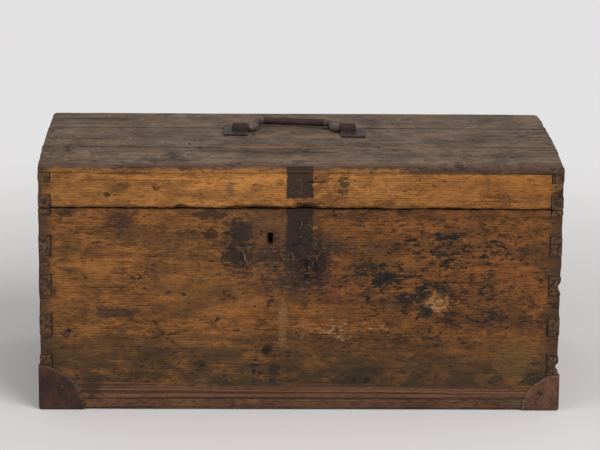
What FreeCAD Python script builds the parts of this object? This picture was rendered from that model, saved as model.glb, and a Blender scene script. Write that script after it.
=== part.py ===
import FreeCAD, Part
import math
import os

# An old dovetailed pine chest with a hinged lid, a lock, an iron bail handle and iron corner caps.
# All sizes are millimetres. +X is to the right, +Y to the back and +Z up.
# The origin is on the ground, below the middle of the chest.

# Carcase
WIDTH = 600.0  # over the end boards
DEPTH = 300.0  # over the front and back boards
BODY_HEIGHT = 238.5  # from under the bottom to the seam where lid and body part
BOARD = 14.0  # thickness of the front, back and end boards
BOTTOM_BOARD = 11.5  # thickness of the bottom planks
BOTTOM_FRONT_WIDTH = 148.0  # the front one of the two bottom planks
PLANK_GAP = 0.3  # between planks that lie side by side

# Lid
RAIL_HEIGHT = 41.0  # front and back rails, from the seam to under the planks
TOP_PLANK = 8.0  # thickness of the top planks
CAMBER = 5.0  # rise of the lid from its front and back edges to the flat middle
FRONT_PLANK_WIDTH = 85.0
MIDDLE_PLANK_WIDTH = 105.0
END_OVERHANG = 0.8  # of the top planks, past the lid's ends
NOSING = 6.0  # rounding of the front edge of the lid

# Dovetails: the end boards have pins that show on the front and back faces
PIN_HEIGHT = 24.0
PIN_SPACE = 23.5  # from one pin to the next
SAWN_PIN_BELOW = 8.0  # the part of the sawn pin that stays on the body
LID_TAIL = 14.5  # from the sawn pin to the top pin of the lid
LEAST_PIN = 5.0  # a lower pin that would be less than this is left out
DOVETAIL_SLOPE = 0.1
PIN_FIT = 0.15  # room above and below each pin
SHOULDER_GAP = 0.6  # open line between a pin and the shoulder of its socket

# Square nails
SHANK = 2.4  # across the flats
NAIL_HEAD = 3.2  # radius
NAIL_RISE = 1.3  # height of a head
PLANK_NAIL_HEAD = 2.5  # radius, on the lid's top
PLANK_NAIL_RISE = 0.6
NAIL_FIT = 0.05  # room round a shank in its hole
NAIL_COVER = 3.0  # wood left between a nail's point and the far face
NAIL_GRIP = 17.0  # length of a nail in the edge of a board
PLANK_NAIL_INSET = 20.0  # from a plank's edges to its nails
RAIL_NAILS = (75.0, 210.0)  # nails into the lid rails, left and right of the middle
BASE_NAILS_ALONG = (0.0, 190.0)  # nails into the front and back boards, from the middle
BASE_NAILS_ACROSS = 70.0  # nails into the end boards, from the middle

# Corner caps of sheet iron
CAP_SHEET = 1.6
CAP_LEFT = 54.0  # radius of the quarter-round plates at the left corners
CAP_RIGHT = 44.0
CAP_LEFT_NAIL = 27.0  # from the cap's corner to its nails, both ways
CAP_RIGHT_NAIL = 22.0
CAP_EDGE = 2.6  # rounding where two plates meet

# Hinges, let into the seam, in a bevelled groove along the back
HINGE_INSET = 110.0  # from the chest's ends to the middle of a hinge
HINGE_LENGTH = 44.0
LEAF = 1.5  # thickness
LEAF_MARGIN = 1.0  # from the inner face of the wood to the leaf
KNUCKLE = 2.6  # radius
KNUCKLE_GAP = 0.3  # between a knuckle and what it turns past
HINGE_PIN = 1.3  # radius
HINGE_PIN_FIT = 0.05
BACK_GROOVE = 3.0  # depth of the bevels along the back of the seam
LID_STOP = 105.0  # degrees that the lid opens before the bevels meet
SCREW_HEAD = 1.9  # radius
SCREW_SINK = 1.0  # depth of the countersunk head
SCREW = 1.1  # radius of the shank
SCREW_LENGTH = 13.0
SCREW_FIT = 0.05
SCREW_SPREAD = 15.0  # from the middle of a leaf to its outer screws

# Keyhole
KEYHOLE_X = -35.0
KEYHOLE_ROUND = 2.9  # radius of the round top
KEYHOLE_SLOT = 4.4  # width of the slot below it
KEYHOLE_REACH = 9.6  # from the middle of the round part to the slot's foot

# Lock, worked out downwards from the seam, inwards from the board and sideways from the ear
LOCK_PLATE = 2.0
PLATE_DROP = 2.0  # from the seam to the plate's top
PLATE_MARGIN = 9.0  # of the plate, past the case's sides
PLATE_NAIL = 4.5  # from the plate's edges to its nails
CASE_DROP = 4.0  # from the seam to the case's top
CASE_WALL = 1.4
CASE_ROOM = 2.0  # inside the case, round what moves there
CASE_BELOW = 7.0  # from the keyhole's foot to the case's underside
KEY_TIP_HOLE = 2.6  # radius of the hole that steadies the key's tip
SPRING_ROOM = 7.5  # above the bolt
SPRING_LEAF = 0.8
SPRING_FOOT = 2.5
BOLT_HEIGHT = 8.0
BOLT_THICK = 4.5
BOLT_THROW = 10.0
BOLT_FIT = 0.25
TALON_WIDTH = 8.0  # notch in the bolt that the key pushes
TALON_DEPTH = 2.5
KEY_ROOM = 10.3  # from the bolt's underside to the middle of the key
EAR_OFFSET = 13.0  # from the keyhole to the ear of the staple
EAR = 3.0  # thickness
EAR_RIM = 2.3  # iron round the ear's window
EAR_FIT = 0.4  # room round the bolt in the window
EAR_SWING = 2.8  # room in front of the ear, which swings out on the lid's arc
NOSE_GAP = 1.5  # from the drawn bolt's nose to the ear
NOSE_LEAD = 3.0  # of the drawn bolt, past its guide
TAIL_LEAD = 2.5  # of the thrown bolt, behind its rear guide
GUIDE = 4.0  # length
GUIDE_RIM = 2.5
GUIDE_SPACING = 13.5
KEEPER_GAP = 2.5  # from the ear to the guide that takes the thrown bolt

# Staple plate on the lid
STAPLE_WIDTH = 28.0
STAPLE_PLATE = 2.0
STAPLE_HEIGHT = 22.0
STAPLE_LIFT = 4.0  # from the seam to the plate's lower edge
STAPLE_NAIL_SPREAD = 9.0
EAR_ROOT = 12.0  # height over which the ear stands on its plate

# Stubs of old nails left in the front: across, and up or down from the seam
LID_STUBS = ((16.0, 36.0), (4.0, 32.0))
BODY_STUBS = ((-0.5, -33.0), (-2.5, -23.0))
STUB_HEAD = 1.7
STUB_RISE = 0.7
STUB_LENGTH = 8.0

# Handle
HANDLE_X = -5.5  # middle of the handle, a little left of the lid's middle
HANDLE_SPAN = 110.5  # between the strap plates
HANDLE_ARM_LEFT = 41.0  # from the pins' axis to the grip's axis
HANDLE_ARM_RIGHT = 28.0  # the old bail is bent out of square
HANDLE_BAR = 4.5  # radius of the bail
HANDLE_PIN = 3.5  # radius of its ends
HANDLE_PIN_FIT = 0.3
HANDLE_LIFT = 0.5  # under the bail where it lies on the lid
HANDLE_BEND = 7.0  # bend radius of the bail's corners
HANDLE_TAPER = 5.0  # how far each arm leans in on its way to the grip
HANDLE_PLAY = 0.6  # sideways, between the bail and each plate
STRAP_WIDTH = 28.5
STRAP = 2.0  # thickness
STRAP_LEFT_FRONT = 22.0  # from the pins' axis to the left strap's front edge
STRAP_LEFT_BACK = 21.0  # and to its back edge
STRAP_RIGHT_FRONT = 30.0  # the right strap is nailed on further forward
STRAP_RIGHT_BACK = 14.0
STRAP_SETBACK = 2.0  # from the left strap's back edge to the middle plank's back edge
HUMP_LENGTH = 19.5
STRAP_NAIL_FRONT = 9.0  # from the strap's front edge
STRAP_NAIL_BACK = 4.0  # from its back edge

V = FreeCAD.Vector
UP = V(0, 0, 1)
PAST = 1.0  # how far a cutting shape runs past the face that it cuts

# Places that follow from the sizes
X_OUT = WIDTH / 2
Y_OUT = DEPTH / 2
X_IN = X_OUT - BOARD
Y_IN = Y_OUT - BOARD
WOOD_BASE = CAP_SHEET
CARCASE_BASE = WOOD_BASE + BOTTOM_BOARD
SEAM = WOOD_BASE + BODY_HEIGHT
LID_EDGE = SEAM + RAIL_HEIGHT
LID_CREST = LID_EDGE + CAMBER
LID_TOP = LID_CREST + TOP_PLANK
FRONT_ARRIS = FRONT_PLANK_WIDTH - Y_OUT
BACK_ARRIS = FRONT_ARRIS + MIDDLE_PLANK_WIDTH
BOARD_NAIL = BOARD - NAIL_COVER
HINGE_Y = Y_OUT - BACK_GROOVE
HINGE_XS = (-X_OUT + HINGE_INSET, X_OUT - HINGE_INSET)
BEVEL_RISE = BACK_GROOVE * math.tan(math.radians(LID_STOP / 2))

CASE_TOP = SEAM - CASE_DROP
BOLT_TOP = CASE_TOP - CASE_WALL - SPRING_ROOM
BOLT_BASE = BOLT_TOP - BOLT_HEIGHT
KEYHOLE_Z = BOLT_BASE - KEY_ROOM
KEYHOLE_FOOT = KEYHOLE_Z - KEYHOLE_REACH
CASE_BASE = KEYHOLE_FOOT - CASE_BELOW
PLATE_TOP = SEAM - PLATE_DROP
PLATE_BASE = CASE_BASE - PLATE_DROP
PLATE_Y = -Y_IN + LOCK_PLATE
EAR_FRONT = PLATE_Y + EAR_SWING
BOLT_FRONT = EAR_FRONT + EAR_RIM + EAR_FIT
BOLT_BACK = BOLT_FRONT + BOLT_THICK
EAR_BACK = BOLT_BACK + EAR_FIT + EAR_RIM
CASE_BACK = EAR_BACK + CASE_ROOM + CASE_WALL
EAR_LEFT = KEYHOLE_X + EAR_OFFSET
EAR_RIGHT = EAR_LEFT + EAR
EAR_BASE = BOLT_BASE - EAR_FIT - EAR_RIM
BOLT_NOSE = EAR_LEFT - NOSE_GAP
GUIDE_FRONT = BOLT_NOSE - NOSE_LEAD - GUIDE
GUIDE_REAR = GUIDE_FRONT - GUIDE_SPACING
KEEPER = EAR_RIGHT + KEEPER_GAP
BOLT_TAIL = GUIDE_REAR - TAIL_LEAD - BOLT_THROW
CASE_LEFT = BOLT_TAIL - CASE_ROOM - CASE_WALL
CASE_RIGHT = KEEPER + GUIDE + CASE_ROOM + CASE_WALL
PLATE_LEFT = CASE_LEFT - PLATE_MARGIN
PLATE_RIGHT = CASE_RIGHT + PLATE_MARGIN
STAPLE_X = (EAR_LEFT + EAR_RIGHT) / 2
STAPLE_BASE = SEAM + STAPLE_LIFT
STAPLE_Y = -Y_IN + STAPLE_PLATE

HANDLE_Y = BACK_ARRIS - STRAP_SETBACK - STRAP_LEFT_BACK
HANDLE_Z = LID_TOP + HANDLE_LIFT + HANDLE_BAR


# Simple shapes

def block(x0, x1, y0, y1, z0, z1):
    """A box between two corners."""
    return Part.makeBox(x1 - x0, y1 - y0, z1 - z0, V(x0, y0, z0))


def rod(radius, start, end):
    """A round rod from one point to another."""
    return Part.makeCylinder(radius, (end - start).Length, start, end - start)


def outline(points):
    """A flat face inside a closed run of corners."""
    return Part.Face(Part.makePolygon(points + points[:1]))


def prism_along_x(corners, x0, x1):
    """A prism whose (y, z) outline runs along X."""
    return outline([V(x0, y, z) for y, z in corners]).extrude(V(x1 - x0, 0, 0))


def prism_along_y(corners, y0, y1):
    """A prism whose (x, z) outline runs along Y."""
    return outline([V(x, y0, z) for x, z in corners]).extrude(V(0, y1 - y0, 0))


def take(shape, *tools):
    """What is left of a shape after cutting every tool from it."""
    for tool in tools:
        shape = shape.cut(tool)
    return shape


def join(shape, *others):
    """One solid from shapes that touch."""
    return shape.fuse(list(others)).removeSplitter()


# Nails and screws: each has a place, a direction into the work, a length, a head radius and a head height

def aimed(shape, place, direction):
    """A shape made along +Z from the origin, turned to a direction and moved to a place."""
    shape.Placement = FreeCAD.Placement(place, FreeCAD.Rotation(UP, direction))
    return shape


def nail(place, direction, length, head=NAIL_HEAD, rise=NAIL_RISE):
    """A square nail whose low conical head stands on the surface."""
    half = SHANK / 2
    shank = block(-half, half, -half, half, 0, length)
    cap = Part.makeCone(head / 2, head, rise, V(0, 0, -rise), UP)
    return aimed(join(cap, shank), place, direction)


def nail_hole(place, direction, length, *_head):
    """The hole that a nail's shank fills."""
    half = SHANK / 2 + NAIL_FIT
    return aimed(block(-half, half, -half, half, -PAST, length + NAIL_FIT), place, direction)


def screw(place, direction, fit=0.0):
    """A countersunk screw, flush with the surface; with a fit it is the hole for one."""
    head = Part.makeCone(SCREW_HEAD + fit, SCREW + fit, SCREW_SINK, V(0, 0, 0), UP)
    shank = Part.makeCylinder(SCREW + fit, SCREW_LENGTH + fit, V(0, 0, 0), UP)
    return aimed(join(head, shank), place, direction)


def nails(sites):
    """A group of separate nails."""
    return Part.makeCompound([nail(*site) for site in sites])


def drill(shape, sites):
    """A shape with the holes of its nails."""
    return take(shape, *[nail_hole(*site) for site in sites])


def plank_slope(y):
    """Height of the underside of the lid's planks, and the upward normal there."""
    back_run = Y_OUT - BACK_ARRIS
    if y < FRONT_ARRIS:
        rate = CAMBER / FRONT_PLANK_WIDTH
        return LID_EDGE + rate * (y + Y_OUT), V(0, -rate, 1).normalize()
    if y > BACK_ARRIS:
        rate = CAMBER / back_run
        return LID_EDGE + rate * (Y_OUT - y), V(0, rate, 1).normalize()
    return LID_CREST, UP


def plank_spans():
    """Front and back edges of the three lid planks."""
    gap = PLANK_GAP / 2
    edges = (-Y_OUT - gap, FRONT_ARRIS, BACK_ARRIS, Y_OUT + gap)
    return [(edges[i] + gap, edges[i + 1] - gap) for i in range(3)]


def lid_nail_sites():
    """Nails down through the planks into the lid's ends and rails."""
    ys = [y for low, high in plank_spans() for y in (low + PLANK_NAIL_INSET, high - PLANK_NAIL_INSET)]
    spots = [(side * (X_OUT - BOARD / 2), y) for side in (-1, 1) for y in ys]
    spots += [(side * x, end * (Y_OUT - BOARD / 2)) for side in (-1, 1) for end in (-1, 1) for x in RAIL_NAILS]
    sites = []
    for x, y in spots:
        under, normal = plank_slope(y)
        place = V(x, y, under + TOP_PLANK)
        sites.append((place, -normal, TOP_PLANK + NAIL_GRIP, PLANK_NAIL_HEAD, PLANK_NAIL_RISE))
    return sites


def base_nail_sites():
    """Nails up through the bottom planks into the edges of the boards."""
    along = sorted({side * x for side in (-1, 1) for x in BASE_NAILS_ALONG})
    spots = [(x, end * (Y_OUT - BOARD / 2)) for end in (-1, 1) for x in along]
    spots += [(side * (X_OUT - BOARD / 2), end * BASE_NAILS_ACROSS) for side in (-1, 1) for end in (-1, 1)]
    return [(V(x, y, WOOD_BASE), UP, BOTTOM_BOARD + NAIL_GRIP) for x, y in spots]


def cap_sizes(side):
    """Radius of a cap and the inset of its nails, for the left (-1) or right (1) side."""
    return (CAP_LEFT, CAP_LEFT_NAIL) if side < 0 else (CAP_RIGHT, CAP_RIGHT_NAIL)


def cap_nail_sites():
    """One nail in each upright plate of each corner cap."""
    sites = []
    for side in (-1, 1):
        inset = cap_sizes(side)[1]
        across = side * (X_OUT + CAP_SHEET - inset)
        for end in (-1, 1):
            along = end * (Y_OUT + CAP_SHEET - inset)
            sites.append((V(across, end * (Y_OUT + CAP_SHEET), inset), V(0, -end, 0), CAP_SHEET + BOARD_NAIL))
            sites.append((V(side * (X_OUT + CAP_SHEET), along, inset), V(-side, 0, 0), CAP_SHEET + BOARD_NAIL))
    return sites


def lock_nail_sites():
    """Nails at the four corners of the lock plate, from inside the chest."""
    return [
        (V(x, PLATE_Y, z), V(0, -1, 0), LOCK_PLATE + BOARD_NAIL)
        for x in (PLATE_LEFT + PLATE_NAIL, PLATE_RIGHT - PLATE_NAIL)
        for z in (PLATE_BASE + PLATE_NAIL, PLATE_TOP - PLATE_NAIL)
    ]


def staple_nail_sites():
    """Two nails through the staple plate into the lid's front rail."""
    z = STAPLE_BASE + STAPLE_HEIGHT / 2
    return [
        (V(STAPLE_X + side * STAPLE_NAIL_SPREAD, STAPLE_Y, z), V(0, -1, 0), STAPLE_PLATE + BOARD_NAIL)
        for side in (-1, 1)
    ]


def stub_sites(places):
    """Old nail stubs in the front face."""
    return [(V(x, -Y_OUT, SEAM + z), V(0, 1, 0), STUB_LENGTH, STUB_HEAD, STUB_RISE) for x, z in places]


def strap_edges(side):
    """Front and back edge of the left (-1) or right (1) strap plate."""
    if side < 0:
        return HANDLE_Y - STRAP_LEFT_FRONT, HANDLE_Y + STRAP_LEFT_BACK
    return HANDLE_Y - STRAP_RIGHT_FRONT, HANDLE_Y + STRAP_RIGHT_BACK


def strap_nail_sites():
    """One nail in front of and one behind the hump of each strap plate."""
    sites = []
    for side in (-1, 1):
        front, back = strap_edges(side)
        x = HANDLE_X + side * (HANDLE_SPAN + STRAP_WIDTH) / 2
        for y in (front + STRAP_NAIL_FRONT, back - STRAP_NAIL_BACK):
            sites.append((V(x, y, LID_TOP + STRAP), -UP, STRAP + TOP_PLANK - NAIL_COVER))
    return sites


# Boards and dovetails

def pin_bands():
    """Lower and upper edge of every pin up a corner of the whole chest, lid and body together."""
    top = SEAM + PIN_HEIGHT - SAWN_PIN_BELOW
    bands = [(top + LID_TAIL, LID_TOP + PIN_HEIGHT)]
    while top > CARCASE_BASE + LEAST_PIN:
        bands.append((top - PIN_HEIGHT, top))
        top -= PIN_HEIGHT + PIN_SPACE
    return bands


def pin_prisms(side, y0, y1, near, far, room):
    """The pins of one corner as prisms: each narrows from the inner to the outer face of its end board."""
    prisms = []
    for low, high in pin_bands():
        rise_near = DOVETAIL_SLOPE * (near - X_IN) - room
        rise_far = DOVETAIL_SLOPE * (far - X_IN) - room
        corners = [
            (side * near, low + rise_near),
            (side * far, low + rise_far),
            (side * far, high - rise_far),
            (side * near, high - rise_near),
        ]
        prisms.append(prism_along_y(corners, y0, y1))
    return prisms


def cut_sockets(board, end):
    """A front (-1) or back (1) board with the sockets that take the pins at both of its ends."""
    y0, y1 = sorted((end * (Y_IN - PAST), end * (Y_OUT + PAST)))
    for side in (-1, 1):
        board = take(board, *pin_prisms(side, y0, y1, X_IN - SHOULDER_GAP, X_OUT + PAST, PIN_FIT))
    return board


def cut_tails(board, side):
    """An end board cut back at the front and back to its pins."""
    x0, x1 = sorted((side * (X_IN - PAST), side * (X_OUT + PAST)))
    for end in (-1, 1):
        y0, y1 = sorted((end * Y_IN, end * (Y_OUT + PAST)))
        waste = block(x0, x1, y0, y1, 0, LID_TOP)
        board = take(board, take(waste, *pin_prisms(side, y0, y1, X_IN - PAST, X_OUT + PAST, 0)))
    return board


def back_bevels():
    """The groove along the back of the seam, whose two bevels stop the open lid."""
    rise = BEVEL_RISE * (BACK_GROOVE + PAST) / BACK_GROOVE
    corners = [(HINGE_Y, SEAM), (Y_OUT + PAST, SEAM - rise), (Y_OUT + PAST, SEAM + rise)]
    return prism_along_x(corners, -X_OUT - PAST, X_OUT + PAST)


def hinge_recesses():
    """Room in the wood for each hinge's two leaves and its knuckles."""
    half = HINGE_LENGTH / 2 + KNUCKLE_GAP
    recesses = []
    for x in HINGE_XS:
        recesses.append(block(x - half, x + half, Y_IN + LEAF_MARGIN, HINGE_Y, SEAM - LEAF, SEAM + LEAF))
        recesses.append(rod(KNUCKLE + KNUCKLE_GAP, V(x - half, HINGE_Y, SEAM), V(x + half, HINGE_Y, SEAM)))
    return recesses


def keyhole(y0, y1):
    """A round hole with a slot below it, right through."""
    half = KEYHOLE_SLOT / 2
    slot = block(KEYHOLE_X - half, KEYHOLE_X + half, y0, y1, KEYHOLE_FOOT, KEYHOLE_Z)
    return join(slot, rod(KEYHOLE_ROUND, V(KEYHOLE_X, y0, KEYHOLE_Z), V(KEYHOLE_X, y1, KEYHOLE_Z)))


def front_board():
    board = cut_sockets(block(-X_OUT, X_OUT, -Y_OUT, -Y_IN, CARCASE_BASE, SEAM), -1)
    board = take(board, keyhole(-Y_OUT - PAST, -Y_IN + PAST))
    return drill(board, cap_nail_sites() + base_nail_sites() + lock_nail_sites() + stub_sites(BODY_STUBS))


def back_board():
    board = cut_sockets(block(-X_OUT, X_OUT, Y_IN, Y_OUT, CARCASE_BASE, SEAM), 1)
    board = take(board, back_bevels(), *hinge_recesses())
    board = drill(board, cap_nail_sites() + base_nail_sites())
    return take(board, *hinge_screws(-1, SCREW_FIT))


def end_board(side):
    x0, x1 = sorted((side * X_IN, side * X_OUT))
    board = cut_tails(block(x0, x1, -Y_OUT, Y_OUT, CARCASE_BASE, SEAM), side)
    return drill(take(board, back_bevels()), cap_nail_sites() + base_nail_sites())


def bottom_board(y0, y1):
    board = block(-X_OUT, X_OUT, y0, y1, WOOD_BASE, CARCASE_BASE)
    return drill(board, base_nail_sites())


def lid_rail(end):
    """Front (-1) or back (1) rail of the lid, its top edge planed to the planks' slope."""
    corners = [
        (end * Y_OUT, SEAM),
        (end * Y_IN, SEAM),
        (end * Y_IN, plank_slope(end * Y_IN)[0]),
        (end * Y_OUT, LID_EDGE),
    ]
    rail = cut_sockets(prism_along_x(corners, -X_OUT, X_OUT), end)
    return drill(rail, lid_nail_sites())


def lid_front_rail():
    return drill(lid_rail(-1), staple_nail_sites() + stub_sites(LID_STUBS))


def lid_back_rail():
    rail = take(lid_rail(1), back_bevels(), *hinge_recesses())
    return take(rail, *hinge_screws(1, SCREW_FIT))


def lid_end(side):
    corners = [
        (-Y_OUT, SEAM),
        (Y_OUT, SEAM),
        (Y_OUT, LID_EDGE),
        (BACK_ARRIS, LID_CREST),
        (FRONT_ARRIS, LID_CREST),
        (-Y_OUT, LID_EDGE),
    ]
    x0, x1 = sorted((side * X_IN, side * X_OUT))
    board = cut_tails(prism_along_x(corners, x0, x1), side)
    return drill(take(board, back_bevels()), lid_nail_sites())


def lid_plank(index):
    """One top plank; the front one has a rounded nosing."""
    low, high = plank_spans()[index]
    z_low = plank_slope(low)[0]
    z_high = plank_slope(high)[0]
    corners = [(low, z_low), (high, z_high), (high, z_high + TOP_PLANK), (low, z_low + TOP_PLANK)]
    plank = prism_along_x(corners, -X_OUT - END_OVERHANG, X_OUT + END_OVERHANG)
    if index == 0:
        nose = [edge for edge in plank.Edges if is_nosing(edge, low, z_low + TOP_PLANK)]
        plank = plank.makeFillet(min(NOSING, TOP_PLANK - PAST), nose)
    return drill(plank, lid_nail_sites() + strap_nail_sites())


def is_nosing(edge, y, z):
    """Whether an edge is the long upper front edge of the lid."""
    return all(abs(vertex.Y - y) < 1e-6 and abs(vertex.Z - z) < 1e-6 for vertex in edge.Vertexes)


# Corner caps

def quarter(radius, normal):
    """A quarter-round plate in the corner of the positive axes, standing on its centre."""
    disc = Part.makeCylinder(radius, CAP_SHEET, V(0, 0, 0), normal)
    return disc.common(block(0, radius, 0, radius, 0, radius))


def corner_cap(side, end):
    """Three quarter-round plates of one folded sheet that meet at a foot corner of the chest."""
    radius = cap_sizes(side)[0]
    cap = join(quarter(radius, V(1, 0, 0)), quarter(radius, V(0, 1, 0)), quarter(radius, UP))
    soft = block(0, 2 * radius, 0, 2 * radius, 0, 2 * radius)
    folds = [edge for edge in soft.Edges if is_fold(edge)]
    cap = cap.common(soft.makeFillet(min(CAP_EDGE, 2 * CAP_SHEET), folds))
    if side > 0:
        cap = cap.mirror(V(0, 0, 0), V(1, 0, 0))
    if end > 0:
        cap = cap.mirror(V(0, 0, 0), V(0, 1, 0))
    cap.translate(V(side * (X_OUT + CAP_SHEET), end * (Y_OUT + CAP_SHEET), 0))
    return drill(Part.Solid(cap.Solids[0]), cap_nail_sites())


def is_fold(edge):
    """Whether an edge lies on one of the axes, where two plates meet."""
    spots = [edge.valueAt(edge.FirstParameter), edge.valueAt(edge.LastParameter)]
    axes = [sum(abs(value) > 1e-6 for value in spot) for spot in spots]
    straight = abs(edge.Length - (spots[1] - spots[0]).Length) < 1e-6
    return straight and max(axes) == 1 and min(axes) == 0


# Hinges

def knuckle_spans(x, lid):
    """The lid's leaf has the middle third of the knuckle and the body's leaf the outer thirds."""
    third = HINGE_LENGTH / 3
    start = x - HINGE_LENGTH / 2
    spans = [(start + third * i, start + third * (i + 1)) for i in range(3)]
    return spans[1:2] if lid else spans[0::2]


def hinge_leaf(x, lid):
    """A leaf let into the seam, with its knuckles, cleared round the other leaf's knuckles."""
    half = HINGE_LENGTH / 2
    z0, z1 = (SEAM, SEAM + LEAF) if lid else (SEAM - LEAF, SEAM)
    leaf = block(x - half, x + half, Y_IN + LEAF_MARGIN, HINGE_Y, z0, z1)
    for low, high in knuckle_spans(x, not lid):
        room = rod(KNUCKLE + KNUCKLE_GAP, V(low, HINGE_Y, SEAM), V(high, HINGE_Y, SEAM))
        leaf = take(leaf, room)
    for low, high in knuckle_spans(x, lid):
        trim = KNUCKLE_GAP / 2
        leaf = join(leaf, rod(KNUCKLE, V(low + trim, HINGE_Y, SEAM), V(high - trim, HINGE_Y, SEAM)))
    bore = rod(HINGE_PIN + HINGE_PIN_FIT, V(x - half - PAST, HINGE_Y, SEAM), V(x + half + PAST, HINGE_Y, SEAM))
    return take(leaf, bore, *hinge_screws(1 if lid else -1, SCREW_FIT))


def hinge_pin(x):
    half = HINGE_LENGTH / 2
    return rod(HINGE_PIN, V(x - half, HINGE_Y, SEAM), V(x + half, HINGE_Y, SEAM))


def hinge_screws(way, fit=0.0):
    """Three screws a leaf, up into the lid (1) or down into the body (-1)."""
    near = Y_IN + LEAF_MARGIN
    far = HINGE_Y - KNUCKLE - KNUCKLE_GAP
    y = (near + far) / 2
    spread = (-SCREW_SPREAD, 0.0, SCREW_SPREAD)
    return [screw(V(x + step, y, SEAM), UP * way, fit) for x in HINGE_XS for step in spread]


# Lock

def bolt_guide(x0):
    """A bridge on the lock plate that the bolt slides through."""
    z0 = BOLT_BASE - BOLT_FIT - GUIDE_RIM
    z1 = BOLT_TOP + BOLT_FIT + GUIDE_RIM
    bridge = block(x0, x0 + GUIDE, PLATE_Y, BOLT_BACK + BOLT_FIT + GUIDE_RIM, z0, z1)
    window = block(
        x0 - PAST,
        x0 + GUIDE + PAST,
        BOLT_FRONT - BOLT_FIT,
        BOLT_BACK + BOLT_FIT,
        BOLT_BASE - BOLT_FIT,
        BOLT_TOP + BOLT_FIT,
    )
    return take(bridge, window)


def lock_plate():
    """The plate behind the keyhole, with the three bridges of the bolt riveted on."""
    plate = block(PLATE_LEFT, PLATE_RIGHT, -Y_IN, PLATE_Y, PLATE_BASE, PLATE_TOP)
    plate = take(plate, keyhole(-Y_IN - PAST, PLATE_Y + PAST))
    plate = join(plate, *[bolt_guide(x) for x in (GUIDE_REAR, GUIDE_FRONT, KEEPER)])
    return drill(plate, lock_nail_sites())


def lock_case():
    """An open-backed cover over the works, with a slot for the ear and a hole for the key's tip."""
    wall = CASE_WALL
    case = block(CASE_LEFT, CASE_RIGHT, PLATE_Y, CASE_BACK, CASE_BASE, CASE_TOP)
    hollow = block(
        CASE_LEFT + wall,
        CASE_RIGHT - wall,
        PLATE_Y - PAST,
        CASE_BACK - wall,
        CASE_BASE + wall,
        CASE_TOP - wall,
    )
    room = CASE_ROOM / 2
    slot = block(
        EAR_LEFT - room,
        EAR_RIGHT + room,
        PLATE_Y - PAST,
        EAR_BACK + room,
        CASE_TOP - wall - PAST,
        CASE_TOP + PAST,
    )
    tip = rod(KEY_TIP_HOLE, V(KEYHOLE_X, CASE_BACK - wall - PAST, KEYHOLE_Z), V(KEYHOLE_X, CASE_BACK + PAST, KEYHOLE_Z))
    return take(case, hollow, slot, tip)


def lock_bolt():
    """The bolt, drawn back clear of the ear, with a notch below for the key."""
    bolt = block(BOLT_TAIL, BOLT_NOSE, BOLT_FRONT, BOLT_BACK, BOLT_BASE, BOLT_TOP)
    left = KEYHOLE_X - TALON_WIDTH
    talon = block(left, KEYHOLE_X, BOLT_FRONT - PAST, BOLT_BACK + PAST, BOLT_BASE - PAST, BOLT_BASE + TALON_DEPTH)
    return take(bolt, talon)


def lock_spring():
    """A leaf that leans on the bolt's back edge, on a foot riveted to the plate between the guides."""
    x0 = GUIDE_REAR + GUIDE + BOLT_FIT
    x1 = GUIDE_FRONT - BOLT_FIT
    seat = BOLT_TOP + BOLT_FIT
    top = BOLT_TOP + SPRING_ROOM - BOLT_FIT
    foot = block(x0, x0 + SPRING_FOOT, PLATE_Y, BOLT_BACK, top - SPRING_ROOM / 2, top)
    leaf = [
        (x0, top),
        (x0, top - SPRING_LEAF),
        (x1 - SPRING_FOOT, seat),
        (x1, seat),
        (x1, seat + SPRING_LEAF),
        (x1 - SPRING_FOOT, seat + SPRING_LEAF),
    ]
    return join(foot, prism_along_y(leaf, BOLT_FRONT, BOLT_BACK))


def lock_staple():
    """A plate on the lid's front rail with an ear that drops into the case and takes the bolt."""
    half = STAPLE_WIDTH / 2
    plate = block(STAPLE_X - half, STAPLE_X + half, -Y_IN, STAPLE_Y, STAPLE_BASE, STAPLE_BASE + STAPLE_HEIGHT)
    corners = [
        (STAPLE_Y, STAPLE_BASE),
        (EAR_FRONT, STAPLE_BASE),
        (EAR_FRONT, EAR_BASE),
        (EAR_BACK, EAR_BASE),
        (EAR_BACK, STAPLE_BASE),
        (STAPLE_Y, STAPLE_BASE + EAR_ROOT),
    ]
    ear = prism_along_x(corners, EAR_LEFT, EAR_RIGHT)
    window = block(
        EAR_LEFT - PAST,
        EAR_RIGHT + PAST,
        BOLT_FRONT - EAR_FIT,
        BOLT_BACK + EAR_FIT,
        BOLT_BASE - EAR_FIT,
        BOLT_TOP + EAR_FIT,
    )
    return drill(take(join(plate, ear), window), staple_nail_sites())


# Handle

def handle_strap(side):
    """An iron strap with a raised hump over one pin of the bail, closed at its outer end."""
    inner = HANDLE_SPAN / 2
    x0, x1 = sorted((HANDLE_X + side * inner, HANDLE_X + side * (inner + STRAP_WIDTH)))
    h0, h1 = sorted((HANDLE_X + side * inner, HANDLE_X + side * (inner + HUMP_LENGTH)))
    t0, t1 = sorted((HANDLE_X + side * (inner - PAST), HANDLE_X + side * (inner + HUMP_LENGTH - STRAP)))
    front, back = strap_edges(side)
    flat = block(x0, x1, front, back, LID_TOP, LID_TOP + STRAP)
    tunnel_radius = HANDLE_PIN + HANDLE_PIN_FIT
    strap = join(flat, arched(h0, h1, tunnel_radius + STRAP, 0))
    return drill(take(strap, arched(t0, t1, tunnel_radius, PAST)), strap_nail_sites())


def arched(x0, x1, radius, below):
    """A round-topped bar along X over the pins' axis, standing on the lid or running past its face."""
    foot = LID_TOP - below
    legs = block(x0, x1, HANDLE_Y - radius, HANDLE_Y + radius, foot, HANDLE_Z)
    crown = rod(radius, V(x0, HANDLE_Y, HANDLE_Z), V(x1, HANDLE_Y, HANDLE_Z))
    return join(legs, take(crown, block(x0, x1, HANDLE_Y - radius, HANDLE_Y + radius, 0, foot)))


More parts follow.
